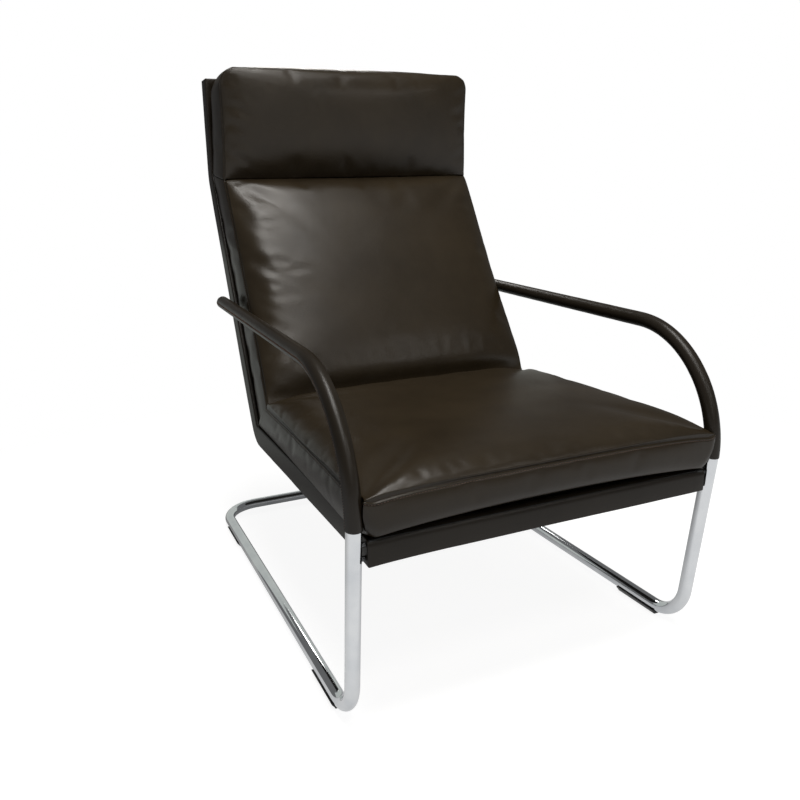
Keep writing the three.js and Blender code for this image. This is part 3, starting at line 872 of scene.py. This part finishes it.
def add_glide(name, side, middle):
    """A plastic saddle that clips under a runner, flat on the floor."""
    inner = TUBE_RADIUS + GLIDE_CLEAR
    outer = inner + GLIDE_WALL
    flat = outer / 2
    outline = [
        *arc_points(inner, GLIDE_WRAP, -GLIDE_WRAP, 20),
        *arc_points(outer, -GLIDE_WRAP, -GLIDE_FOOT, 5),
        (-flat, -RUNNER_AXIS),
        (flat, -RUNNER_AXIS),
        *arc_points(outer, GLIDE_FOOT, GLIDE_WRAP, 5),
    ]
    low = middle - GLIDE_LENGTH / 2
    bm = bmesh.new()
    verts = [bm.verts.new(place(low, RUNNER_AXIS + z, side * HALF_GAUGE + x)) for x, z in outline]
    made = bmesh.ops.extrude_face_region(bm, geom=[bm.faces.new(verts)])["geom"]
    bmesh.ops.translate(bm, verts=verts_in(made), vec=Vector((0, GLIDE_LENGTH, 0)))
    bm.normal_update()
    ends = [e for e in bm.edges if e.calc_face_angle(0) > math.radians(50)]
    bmesh.ops.bevel(
        bm, geom=ends, offset=GLIDE_SOFT_EDGE, offset_type="OFFSET", segments=3, profile=0.5,
        affect="EDGES", clamp_overlap=True, material=-1,
    )
    finished(
        f"{name}_glide_saddle", bm, PLASTIC, "runner_base",
        (f"{name}_glide",), flat_from=30,
    )


# Pads


def arch(share, power):
    """The rise of an arch, 1 in the middle and 0 at either end, where the share is -1 or 1."""
    return np.maximum(0, 1 - np.abs(share) ** power) ** (1 / power)


def rolled(distance, crown, start, radius):
    """The share of a crown that is left where it turns under towards a crease."""
    foot = start - 0.8 * radius
    off = np.clip(start - distance, 0, 0.8 * radius)
    share = 1 - (radius - np.sqrt(radius * radius - off * off)) / crown
    return share * np.clip(distance / foot, 0, 1)


def even_stops(half, crown, powers):
    """Grid lines from -1 to 1 at even distances over a crowned section, with extra ones at its edges."""
    first = SEAM_LINES
    fine = 1 - np.linspace(0, 1, 4001) ** 3
    fine = np.concatenate([-fine, fine[::-1][1:]])
    rise = crown * np.where(fine < 0, arch(fine, powers[0]), arch(fine, powers[1]))
    length = np.concatenate([[0], np.cumsum(np.hypot(np.diff(fine * half), np.diff(rise)))])
    total = length[-1]
    count = max(4, round((total - 2 * first[-1]) / PAD_PITCH))
    middle = np.linspace(first[-1], total - first[-1], count + 1)
    marks = np.concatenate([first[:-1], middle, total - np.array(first[:-1])[::-1]])
    return np.interp(marks, length, fine), marks


def grid_box(cells):
    """A box from -1 to 1 each way, cut into cells along x, y and z."""
    bm = bmesh.new()
    bmesh.ops.create_cube(bm, size=2)
    for axis, count in enumerate(cells):
        edges = [e for e in bm.edges if abs((e.verts[0].co - e.verts[1].co)[axis]) > 1e-4]
        bmesh.ops.subdivide_edges(bm, edges=edges, cuts=count - 1, use_grid_fill=True)
    return bm


def vectors(collection, key):
    flat = np.empty(len(collection) * 3, np.float32)
    collection.foreach_get(key, flat)
    return flat.reshape(-1, 3).astype(float)


def mesh_points(mesh):
    return vectors(mesh.vertices, "co")


def mesh_normals(mesh):
    return vectors(mesh.vertex_normals, "vector")


def set_points(mesh, points):
    mesh.vertices.foreach_set("co", points.astype(np.float32).ravel())
    mesh.update()


def note(mesh, name, values):
    """Keeps one number for each point, in an attribute of the mesh."""
    found = mesh.attributes.get(name) or mesh.attributes.new(name, "FLOAT", "POINT")
    found.data.foreach_set("value", values.astype(np.float32))


def noted(mesh, name):
    values = np.empty(len(mesh.vertices), np.float32)
    mesh.attributes[name].data.foreach_get("value", values)
    return values.astype(float)


def height_stops(depth):
    """Grid lines up the boxing, with fine ones at the topstitch and under the seam."""
    plain = depth - BOXING_LINES[-1]
    low = np.linspace(0, plain, max(3, round(plain / BOXING_PITCH)) + 1)
    marks = np.concatenate([low, (depth - BOXING_LINES)[::-1][1:]])
    return 2 * marks / depth - 1


def softened(first, second, radius):
    """Rounds the corner between two faces: takes and gives a point's distance from each."""
    if not np.any(radius):
        return first, second
    u = np.clip(1 - first / radius, 0, 1)
    v = np.clip(1 - second / radius, 0, 1)
    near = (u > 0) & (v > 0)
    return (
        np.where(near, radius * (1 - u * np.sqrt(1 - v * v / 2)), first),
        np.where(near, radius * (1 - v * np.sqrt(1 - u * u / 2)), second),
    )


@dataclass
class Pad:
    """One boxed cushion: a runs across, b along the shell's profile and c away from the shell.

    low and high are the ends of its underside and of its seam line in the side profile. Pairs of
    values are for its lower or front end and for its other end.
    """

    name: str
    low: list
    high: list
    halves: tuple
    crown: float
    powers: tuple
    fill: float = 0.7
    lip: float = 0.0
    bow: float = 0.0
    tucks: tuple = (0.0, 0.0)
    sag: float = 0.0
    bulges: tuple = (0.0, 0.0)
    plan_radius: tuple = (0.0, 0.0)
    under_radius: tuple = (0.0, 0.0)
    roll: tuple = ()
    fixed: tuple = (True, True)
    slack: float = 1.0

    def __post_init__(self):
        self.low = [np.array(p) for p in self.low]
        self.high = [np.array(p) for p in self.high]
        self.length = np.linalg.norm(self.high[1] - self.high[0])
        self.depth = np.linalg.norm(self.high[0] - self.low[0])
        self.half = sum(self.halves) / 2
        self.way = (self.low[1] - self.low[0]) / np.linalg.norm(self.low[1] - self.low[0])
        self.out = np.array((-self.way[1], self.way[0]))

    def rounded(self, a, b, c):
        """Rounds the box's corners, seen from above and seen from the side."""
        beside = (1 - np.abs(a)) * self.half
        above = (1 + c) / 2 * self.depth
        for end, sign in enumerate((-1, 1)):
            before = (1 - sign * b) / 2 * self.length
            radius = self.plan_radius[end]
            if radius:
                radius = radius + UNDER_SPREAD * np.clip((1 - c) / 2, 0, 1)
            beside, before = softened(beside, before, radius)
            before, above = softened(before, above, self.under_radius[end])
            b = sign * (1 - 2 * before / self.length)
        return np.sign(a) * (1 - beside / self.half), b, 2 * above / self.depth - 1

    def arch_along(self, b):
        return np.where(b < 0, arch(b, self.powers[1]), arch(b, self.powers[2]))

    def shape(self, a, b, c):
        """The places in the model of points given by a, b and c."""
        run = (1 + b) / 2
        height = (1 + c) / 2
        cheek = (1 - c * c) * (1 - a ** 4)
        front = np.maximum(0, 1 - run / LIP_SHARE) ** 2
        along = self.arch_along(b)
        if self.roll:
            along = np.where(b < 0, rolled(run * self.length, self.crown, *self.roll), along)
        dome = arch(a, self.powers[0]) * along * height
        half = self.halves[0] + (self.halves[1] - self.halves[0]) * run
        half = half - WAIST * (1 - b * b) + BOXING_SWELL * (1 - c * c)
        for tuck, reach, far in zip(self.tucks, TUCK_REACHES, (run, 1 - run)):
            half = half - tuck * (1 - height) ** 4 * np.exp(-(far * self.length / reach) ** 2)
        low = self.low[0] + (self.low[1] - self.low[0]) * run[:, None]
        high = self.high[0] + (self.high[1] - self.high[0]) * run[:, None]
        point = low + (high - low) * height[:, None]
        ends = np.maximum(0, b) ** 2 * self.bulges[1] - np.maximum(0, -b) ** 2 * self.bulges[0]
        push = ends * cheek
        raised = self.crown * dome + (self.lip + self.bow * (1 - a * a) * (1.5 - height)) * front
        sag = np.abs(a) ** 6 * np.exp(-(run * self.length / CORNER_REACH) ** 2) * (0.2 + 0.8 * height)
        hang = np.exp(-(run * self.length / HANG_REACH) ** 2) * (1 - height) ** 2
        raised -= self.sag * (sag + 0.4 * hang)
        point += self.way * push[:, None] + self.out * raised[:, None]
        return np.column_stack([a * half, point[:, 0] + PROFILE_SHIFT, point[:, 1]])

    def rest_mesh(self):
        """The sewn cover before it is filled, with each point's a, b and c and its distance to the seam."""
        stops_a, marks_a = even_stops(self.half, self.crown, self.powers[:1] * 2)
        stops_b, marks_b = even_stops(self.length / 2, self.crown, self.powers[1:])
        stops_c = height_stops(self.depth)
        cells = [len(stops) - 1 for stops in (stops_a, stops_b, stops_c)]
        bm = grid_box(cells)
        mesh = bpy.data.meshes.new(self.name)
        bm.to_mesh(mesh)
        bm.free()
        at = np.rint((mesh_points(mesh) + 1) / 2 * np.array(cells)).astype(int)
        a, b, c = stops_a[at[:, 0]], stops_b[at[:, 1]], stops_c[at[:, 2]]
        across, along = marks_a[at[:, 0]], marks_b[at[:, 1]]
        crowned_a = arch(a, self.powers[0]) * (1 + c) / 2
        crowned_b = self.arch_along(b) * (1 + c) / 2
        flat_a, flat_b = 2 * across / marks_a[-1] - 1, 2 * along / marks_b[-1] - 1
        a, b = flat_a + (a - flat_a) * crowned_b, flat_b + (b - flat_b) * crowned_a
        side_gap = np.minimum(across, marks_a[-1] - across)
        end_gap = np.minimum(along, marks_b[-1] - along)
        seam = np.where(c > 1 - 1e-6, -np.minimum(side_gap, end_gap), (1 - c) / 2 * self.depth)
        note(mesh, "a", a)
        note(mesh, "b", b)
        note(mesh, "c", c)
        note(mesh, "seam", seam)
        set_points(mesh, self.shape(*self.rounded(a, b, c)))
        return mesh

    def pins(self, mesh):
        """How firmly each point is held: seams, the underside and the ends in a crease stay put."""
        b, c, seam = noted(mesh, "b"), noted(mesh, "c"), noted(mesh, "seam")
        held = np.exp(-(seam / SEAM_HOLD) ** 2)
        held = np.maximum(held, 0.5 * np.exp(-((seam - STITCH_LINE) / STITCH_HOLD) ** 2))
        held[c < -1 + 1e-6] = 1
        if self.roll:
            held = np.maximum(held, 0.95 * np.exp(-((1 + b) / 2 * self.length / self.roll[0]) ** 4))
        for end, sign in enumerate((-1, 1)):
            if self.fixed[end]:
                held[sign * b > 1 - 1e-6] = 1
        return held


PAD_LOW = SHELL_DEPTH + PAD_GAP
SEAT_SEAM = seat_line(SHELL_DEPTH + SEAT_THICKNESS)
BACK_SEAM = back_line(SHELL_DEPTH + BACK_THICKNESS)
HEAD_SEAM = head_line(SHELL_DEPTH + HEAD_THICKNESS)
SEAT_MITRE = [crossing(seat_line(PAD_LOW), back_line(PAD_LOW)), crossing(SEAT_SEAM, BACK_SEAM)]
HEAD_MITRE = [crossing(back_line(PAD_LOW), head_line(PAD_LOW)), crossing(BACK_SEAM, HEAD_SEAM)]
HEAD_END = [
    crossing(head_line(PAD_LOW), level_line(SHELL_TOP + 5 * MM)),
    crossing(HEAD_SEAM, level_line(SHELL_TOP + 7 * MM)),
]

PADS = [
    Pad(
        "seat_cushion",
        low=[Vector((PAD_FRONT, SEAT_TOP + PAD_GAP)), SEAT_MITRE[0] - SEAT_WAY * CREASE_GAP],
        high=[Vector((PAD_FRONT, SEAT_TOP + SEAT_THICKNESS)), SEAT_MITRE[1] - SEAT_WAY * CREASE_GAP],
        halves=(SHELL_HALF + 11 * MM, SHELL_HALF - 5 * MM),
        crown=37 * MM, powers=(4.5, 3.6, 4), lip=7 * MM, bow=9 * MM, tucks=(13 * MM, 0.0), sag=9 * MM,
        bulges=(5 * MM, 0.0), plan_radius=(11 * MM, 0.0), under_radius=(9 * MM, 0.0), fixed=(False, True),
    ),
    Pad(
        "back_cushion",
        low=[SEAT_MITRE[0] + BACK_WAY * CREASE_GAP, HEAD_MITRE[0] - BACK_WAY * CREASE_GAP],
        high=[SEAT_MITRE[1] + BACK_WAY * CREASE_GAP, HEAD_MITRE[1] - BACK_WAY * CREASE_GAP],
        halves=(SHELL_HALF - 9 * MM, NECK_HALF - 4 * MM),
        crown=34 * MM, powers=(3.3, 2.2, 3), roll=(74 * MM, 65 * MM),
    ),
    Pad(
        "head_cushion",
        low=[HEAD_MITRE[0] + HEAD_WAY * CREASE_GAP, HEAD_END[0]],
        high=[HEAD_MITRE[1] + HEAD_WAY * CREASE_GAP, HEAD_END[1]],
        halves=(NECK_HALF - 4 * MM, NECK_HALF - 6 * MM),
        crown=27 * MM, powers=(2.8, 2, 4.5), tucks=(0.0, 6 * MM), bulges=(0.0, 12 * MM),
        plan_radius=(0.0, 38 * MM), fixed=(True, False), slack=0.3,
    ),
]


def clear_of_sleeves(points):
    """Presses a pad's side in where it meets an arm sleeve."""
    moved = points.copy()
    for side in SIDES.values():
        start = np.array(upright_point(side, 0))
        way = np.array(UPRIGHT_WAY)
        spoke = moved - start
        spoke -= (spoke @ way)[:, None] * way
        distance = np.linalg.norm(spoke, axis=1)
        lack = np.clip(SLEEVE_RADIUS + SLEEVE_CLEAR - distance, 0, None)
        moved += spoke / np.maximum(distance, 1e-9)[:, None] * lack[:, None]
    return moved


def clear_of_bends(points):
    """Keeps a pad's lower corners out of the shell's round bends."""
    moved = points.copy()
    bends_of_shell = [
        (seat_line, back_line, SEAT_BEND, SEAT_WAY, BACK_WAY),
        (back_line, head_line, NECK_BEND, BACK_WAY, HEAD_WAY),
    ]
    for before, after, radius, way_in, way_out in bends_of_shell:
        centre = crossing(before(radius), after(radius))
        spoke = moved[:, 1:] - np.array((centre.x + PROFILE_SHIFT, centre.y))
        distance = np.linalg.norm(spoke, axis=1)
        most = radius - SHELL_DEPTH - BEND_CLEAR
        sector = (spoke @ np.array(way_in) > 0) & (spoke @ np.array(way_out) < 0)
        scale = np.where(sector & (distance > most), most / np.maximum(distance, 1e-9), 1)
        moved[:, 1:] += spoke * (scale - 1)[:, None]
    return moved


def blow_up(piece, held):
    """Adds the cloth that fills a pad from within."""
    group = piece.vertex_groups.new(name="held")
    for i, weight in enumerate(held):
        if weight > 0.02:
            group.add([i], float(weight), "REPLACE")
    cloth = piece.modifiers.new("cloth", "CLOTH")
    leather = cloth.settings
    leather.quality = 5
    leather.mass = 0.25
    leather.tension_stiffness = 30
    leather.compression_stiffness = 30
    leather.shear_stiffness = 12
    leather.bending_stiffness = 6
    leather.air_damping = 2
    leather.use_pressure = True
    leather.uniform_pressure_force = 3
    leather.shrink_min = -0.003
    leather.vertex_group_mass = "held"
    leather.effector_weights.gravity = 0
    cloth.collision_settings.use_collision = False
    cloth.point_cache.frame_start = 1
    cloth.point_cache.frame_end = CLOTH_FRAMES


def settled(pieces):
    """Runs the cloth of all the pads at once and keeps each point within the cap."""
    for step in range(1, CLOTH_FRAMES + 1):
        bpy.context.scene.frame_set(step)
    graph = bpy.context.evaluated_depsgraph_get()
    for piece in pieces:
        rest = mesh_points(piece.data)
        moved = mesh_points(piece.evaluated_get(graph).data) - rest
        size = np.linalg.norm(moved, axis=1)
        share = CLOTH_CAP * np.tanh(size / CLOTH_CAP) / np.maximum(size, 1e-9)
        set_points(piece.data, rest + moved * share[:, None])
    for piece in pieces:
        piece.modifiers.clear()
        piece.vertex_groups.clear()
    bpy.context.scene.frame_set(1)


def subdivided(piece):
    """One round of smooth subdivision, made real."""
    smooth = piece.modifiers.new("smooth", "SUBSURF")
    smooth.levels = smooth.render_levels = 1
    graph = bpy.context.evaluated_depsgraph_get()
    mesh = bpy.data.meshes.new_from_object(piece.evaluated_get(graph), depsgraph=graph)
    piece.modifiers.clear()
    piece.data = mesh
    return mesh


def sew(mesh):
    """Draws in the seam and the topstitched line beside it, and raises the leather between them."""
    seam = noted(mesh, "seam")
    lift = sum(rise * np.exp(-((seam - line) / width) ** 2) for line, rise, width in SEAM_FOLDS)
    set_points(mesh, mesh_points(mesh) + mesh_normals(mesh) * lift[:, None])


def wrinkle(pad, mesh, strokes):
    """Draws soft valleys with raised lips on a pad's face."""
    points, normals, seam = mesh_points(mesh), mesh_normals(mesh), noted(mesh, "seam")
    x = points[:, 0] / MM
    flat = points[:, 1:] - np.array((PROFILE_SHIFT, 0)) - pad.high[0]
    along = flat @ pad.way / MM
    lift = np.zeros(len(x))
    for x0, s0, x1, s1, width, depth in strokes:
        way = np.array((x1 - x0, s1 - s0))
        length = np.linalg.norm(way)
        way = way / length
        t = ((x - x0) * way[0] + (along - s0) * way[1]) / length
        bow = 0.08 * length * np.sin(np.pi * np.clip(t, 0, 1))
        d = (x - x0) * -way[1] + (along - s0) * way[0] - bow
        window = np.sin(np.pi * np.clip(t, 0, 1)) ** 1.3
        size = width * (0.6 + 0.4 * window)
        lift += depth * window * (
            0.6 * np.exp(-((np.abs(d) - 1.9 * size) / size) ** 2) - np.exp(-(d / size) ** 2)
        )
    face = np.clip((-seam / MM - 1) / 5, 0, 1)
    set_points(mesh, points + normals * (lift * face * MM)[:, None])


def pucker(pad, mesh):
    """Slow waves over the whole pad, slanting pulls on its face and small gathers along the seams."""
    points, normals, seam = mesh_points(mesh), mesh_normals(mesh), noted(mesh, "seam") / MM
    lift = np.empty(len(points))
    for i, (x, y, z) in enumerate(points):
        spot = Vector((x, y, z))
        on_face = seam[i] < 0
        gather = noise.noise(spot * 45) * GATHER * pad.slack * math.exp(-((seam[i] + 12) / 8) ** 2)
        waves = noise.noise(spot * 8 + Vector((3, 1, 7))) * SLOW_WAVE * pad.slack
        waves += noise.noise(spot * 19) * QUICK_WAVE
        if on_face:
            outer = min(1.0, max(0.0, (abs(x) / SHELL_HALF - 0.35) / 0.4))
            slant = Vector((x * 9 - z * 6, x * 17 + z * 37, y * 6))
            waves += noise.noise(slant) * (STRONG_PULL if x < 0 else WEAK_PULL) * pad.slack * outer
        else:
            waves *= BOXING_CALM
        lift[i] = gather + waves * (1 - math.exp(-(seam[i] / 22) ** 2))
    set_points(mesh, points + normals * lift[:, None])


# Folds of the leather, each from one (x, along) to another, with its width and depth, in mm
STROKES = {
    "back_cushion": [
        (-306, 505, -255, 478, 10, 0.8),
        (-285, 448, -205, 428, 10, 1.0),
        (-268, 415, -215, 405, 8, 0.6),
        (-305, 345, -240, 268, 12, 1.1),
        (-270, 318, -195, 300, 9, 0.7),
        (-225, 290, -160, 282, 9, 0.8),
        (-285, 275, -230, 240, 9, 0.8),
        (-265, 235, -190, 222, 10, 0.6),
        (-300, 522, -235, 528, 8, 0.7),
        (-290, 160, -215, 130, 12, 0.7),
        (292, 470, 240, 440, 12, 0.7),
        (300, 330, 250, 312, 10, 0.6),
        (296, 200, 238, 170, 12, 0.7),
        (120, 500, 75, 420, 21, 0.7),
        (-60, 80, 60, 62, 21, 0.7),
    ],
    "head_cushion": [
        (-296, 212, -262, 196, 9, 0.8),
        (-300, 160, -240, 132, 10, 0.9),
        (-302, 120, -250, 98, 9, 0.6),
        (-306, 58, -236, 20, 9, 1.0),
        (-200, 207, -198, 182, 8, 0.5),
        (-95, 208, -84, 150, 9, 0.6),
        (296, 160, 250, 142, 10, 0.7),
        (300, 62, 246, 34, 10, 0.8),
        (294, 205, 262, 182, 9, 0.6),
    ],
    "seat_cushion": [
        (-304, 8, -292, 46, 8, 1.0),
        (-289, 7, -281, 42, 7, 1.1),
        (-275, 6, -268, 40, 7, 1.0),
        (-232, 6, -226, 42, 9, 0.9),
        (-212, 6, -207, 40, 8, 0.7),
        (-196, 6, -190, 34, 8, 0.4),
        (-166, 6, -162, 36, 8, 0.5),
        (-90, 6, -88, 34, 9, 0.3),
        (60, 6, 62, 36, 9, 0.3),
        (180, 6, 184, 38, 9, 0.5),
        (262, 7, 254, 44, 9, 0.6),
        (290, 9, 276, 50, 9, 0.7),
        (-312, 300, -262, 318, 12, 0.6),
        (-310, 180, -258, 190, 12, 0.6),
        (308, 420, 262, 436, 12, 0.6),
        (-180, 560, -60, 552, 18, 0.7),
        (70, 556, 210, 566, 18, 0.7),
    ],
}


def stitch_seats(pad, mesh):
    """Where the topstitches sit, along the sides and the free ends of the boxing."""
    a, b, seam = noted(mesh, "a"), noted(mesh, "b"), noted(mesh, "seam")
    points, normals = mesh_points(mesh), mesh_normals(mesh)
    line = np.abs(seam - STITCH_LINE) < SEAM_PICK
    runs = [(line & (np.abs(a - side) < 1e-5), b) for side in (-1, 1)]
    runs += [
        (line & (np.abs(b - sign) < 1e-5), a)
        for end, sign in enumerate((-1, 1)) if not pad.fixed[end]
    ]
    seats = []
    for chosen, order in runs:
        index = np.flatnonzero(chosen)
        index = index[np.argsort(order[index])]
        path, outs = points[index], normals[index]
        length = np.concatenate([[0], np.cumsum(np.linalg.norm(np.diff(path, axis=0), axis=1))])
        pitch = PAD_STITCH_PITCH
        for at in np.arange(pitch / 2, length[-1] - pitch / 2, pitch):
            middle, ahead, out = (
                Vector([np.interp(d, length, row[:, k]) for k in range(3)])
                for d, row in ((at, path), (at + pitch / 4, path), (at, outs))
            )
            out.normalize()
            seats.append((middle + out * PAD_STITCH_LIFT, (ahead - middle).normalized(), out))
    return seats


def add_pads():
    pieces = []
    for pad in PADS:
        mesh = pad.rest_mesh()
        piece = bpy.data.objects.new(pad.name, mesh)
        bpy.context.scene.collection.objects.link(piece)
        blow_up(piece, pad.pins(mesh))
        pieces.append(piece)
    settled(pieces)
    for pad, piece in zip(PADS, pieces):
        mesh = subdivided(piece)
        wrinkle(pad, mesh, STROKES[pad.name])
        pucker(pad, mesh)
        set_points(mesh, clear_of_sleeves(clear_of_bends(mesh_points(mesh))))
        sew(mesh)
        mesh.materials.append(PAD_LEATHER)
        mesh.shade_smooth()
        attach(piece, "seat_unit")
        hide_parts(pad.name.replace("cushion", "pad"))
        seats = stitch_seats(pad, mesh)
        stitch_row(f"{pad.name}_stitches", seats, PAD_STITCH_LENGTH, PAD_STITCH_WIDTH)


# Camera, lamps and backdrop

VIEW_AZIMUTH = math.radians(-23.75)
VIEW_ELEVATION = math.radians(14.78)
VIEW_ROLL = math.radians(-1.56)
VIEW_PLACE = Vector((-0.6935, -1.4923, 0.8319))
SENSOR = 36
LENS = 35.1724
SKY = 0.03
WORLD_IN_CHROME = 0.15
LAMPS = {
    "high_left": (-24, 68, 28),
    "window": (-4, 46, 14),
    "high_right": (15, 68, 15),
    "low_front": (0, 20, 3.5),
    "low_right": (27, 28, 5.5),
    "overhead": (0, 88, 35),
    "behind": (165, 28, 12),
}
LAMP_TINT = (1, 0.98, 0.945)
LAMP_AIM = Vector((0, 0, 0.5))
LAMP_REACH = 3.2
LAMP_SIZE = 0.7
CARD_PLACE = (0.13, 1.0)
CARD_HALF = (0.97, 0.35)
CARD_TINT = (0.96, 1, 0.95)
CARD_GLOW = 0.64
FLOOR_HALF = 60
FLOOR_TONE = 0.35
FLOOR_GLOW = 0.9
FLOOR_FADE = (0.8, 1.7)
FLOOR_IN_CHROME = (0.8, 0.12)
FLOOR_IN_CHROME_RUN = (-0.6, 0.6)


def add_camera():
    """Looks at the chair as the photograph does."""
    flat = math.cos(VIEW_ELEVATION)
    back = Vector((
        math.sin(VIEW_AZIMUTH) * flat, -math.cos(VIEW_AZIMUTH) * flat, math.sin(VIEW_ELEVATION)
    ))
    right = Vector((math.cos(VIEW_AZIMUTH), math.sin(VIEW_AZIMUTH), 0))
    up = back.cross(right)
    x = right * math.cos(VIEW_ROLL) + up * math.sin(VIEW_ROLL)
    y = up * math.cos(VIEW_ROLL) - right * math.sin(VIEW_ROLL)
    data = bpy.data.cameras.new("camera")
    data.sensor_width = SENSOR
    data.lens = LENS
    camera = bpy.data.objects.new("camera", data)
    bpy.context.scene.collection.objects.link(camera)
    camera.matrix_world = Matrix.Translation(VIEW_PLACE) @ Matrix((x, y, back)).transposed().to_4x4()
    bpy.context.scene.camera = camera


def add_lamps():
    """Square soft boxes round the chair, each by its azimuth, elevation and power."""
    for name, (azimuth, elevation, power) in LAMPS.items():
        azimuth, elevation = math.radians(azimuth), math.radians(elevation)
        out = Vector((math.sin(azimuth), -math.cos(azimuth), math.tan(elevation))).normalized()
        data = bpy.data.lights.new(name, "AREA")
        data.shape = "SQUARE"
        data.size = LAMP_SIZE
        data.energy = power
        data.color = LAMP_TINT
        lamp = bpy.data.objects.new(name, data)
        bpy.context.scene.collection.objects.link(lamp)
        turn = (-out).to_track_quat("-Z", "Y").to_matrix().to_4x4()
        lamp.matrix_world = Matrix.Translation(LAMP_AIM + out * LAMP_REACH) @ turn


def seen_directly(nodes, links, in_mirrors):
    """1 for camera rays, the given part for those of mirrors and glass, 0 for those that light the chair."""
    rays = nodes.new("ShaderNodeLightPath").outputs
    either = worked(nodes, links, "MAXIMUM", rays["Is Glossy Ray"], rays["Is Transmission Ray"])
    mirrored = level(nodes, links, either, 0.0, in_mirrors)
    return worked(nodes, links, "MAXIMUM", rays["Is Camera Ray"], mirrored)


def add_world():
    """Faint light from all round, with a white backdrop where it is seen."""
    world = bpy.data.worlds.new("studio")
    bpy.context.scene.world = world
    world.use_nodes = True
    nodes, links = world.node_tree.nodes, world.node_tree.links
    sky = nodes["Background"]
    sky.inputs["Color"].default_value = (1, 1, 1, 1)
    seen = seen_directly(nodes, links, WORLD_IN_CHROME)
    links.new(level(nodes, links, seen, SKY, 1.0), sky.inputs["Strength"])


def glowing_material(name, tone, glow_color):
    """Matt paint with a glow of its own colour."""
    material, nodes, links, shader = blank_material(name, 0.7)
    shader.inputs["Base Color"].default_value = (tone, tone, tone, 1)
    shader.inputs["Specular IOR Level"].default_value = 0.0
    shader.inputs["Emission Color"].default_value = (*glow_color, 1)
    return material, nodes, links, shader


def studio_sheet(name, matrix, material):
    """A flat sheet, two by two before the matrix lays it out."""
    bm = bmesh.new()
    bmesh.ops.create_grid(bm, x_segments=1, y_segments=1, size=1, matrix=matrix)
    mesh = bpy.data.meshes.new(name)
    bm.to_mesh(mesh)
    bm.free()
    mesh.materials.append(material)
    sheet = bpy.data.objects.new(name, mesh)
    bpy.context.scene.collection.objects.link(sheet)
    return sheet


def add_card():
    """A low pale card that stands behind the chair and shows in the floor tubes alone."""
    material, _, _, shader = glowing_material("card_paint", 0, CARD_TINT)
    shader.inputs["Emission Strength"].default_value = CARD_GLOW
    wide, high = CARD_HALF
    upright = Matrix.Rotation(math.pi / 2, 4, "X") @ Matrix.Diagonal((wide, high, 1, 1))
    card = studio_sheet("card", Matrix.Translation((*CARD_PLACE, high)) @ upright, material)
    card.visible_camera = False
    card.visible_diffuse = False
    card.visible_shadow = False


def add_floor():
    """A white floor that keeps the chair's shadow near it and fades into the white beyond."""
    material, nodes, links, shader = glowing_material("floor_paint", FLOOR_TONE, (1, 1, 1))
    where = nodes.new("ShaderNodeTexCoord").outputs["Object"]
    apart = nodes.new("ShaderNodeSeparateXYZ")
    links.new(where, apart.inputs[0])
    in_mirrors = level(nodes, links, apart.outputs["Y"], *FLOOR_IN_CHROME, *FLOOR_IN_CHROME_RUN)
    seen = seen_directly(nodes, links, in_mirrors)
    links.new(level(nodes, links, seen, 0.0, FLOOR_GLOW), shader.inputs["Emission Strength"])
    far = nodes.new("ShaderNodeVectorMath")
    far.operation = "LENGTH"
    links.new(where, far.inputs[0])
    fade = level(nodes, links, far.outputs["Value"], 0.0, 1.0, *FLOOR_FADE)
    white = nodes.new("ShaderNodeEmission")
    white.inputs["Strength"].default_value = 1.0
    mixer = nodes.new("ShaderNodeMixShader")
    links.new(worked(nodes, links, "MULTIPLY", fade, seen), mixer.inputs["Fac"])
    links.new(shader.outputs[0], mixer.inputs[1])
    links.new(white.outputs[0], mixer.inputs[2])
    links.new(mixer.outputs[0], nodes["Material Output"].inputs["Surface"])
    floor = studio_sheet("floor", Matrix.Diagonal((FLOOR_HALF, FLOOR_HALF, 1, 1)), material)


# Solids that stay in sight, by the words in their names

FINISHES = {"strap": WEBBING, "liner": LINING, "grip": LINING}


def finish_solids():
    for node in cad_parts.values():
        if node.hide_render:
            continue
        # Solids without a finish of their own take the steel that is painted dark as shade.
        finish = next((paint for word, paint in FINISHES.items() if word in node.name), SHADE_DARKENED_STEEL)
        node.data.materials.clear()
        node.data.materials.append(finish)


for name, side in SIDES.items():
    add_frame_tube(name, side)
    add_arm_sleeve(name, side)
    add_sleeve_stitches(name, side)
    add_arm_cap(name, side)
    for level_name, z in SPACERS.items():
        add_spacer(name, side, level_name, z)
    for end_name, middle in GLIDES.items():
        add_glide(f"{name}_{end_name}", side, middle)
add_shell()
add_pads()
finish_solids()

bpy.context.scene.view_settings.view_transform = "Standard"
add_camera()
add_world()
add_lamps()
add_card()
add_floor()
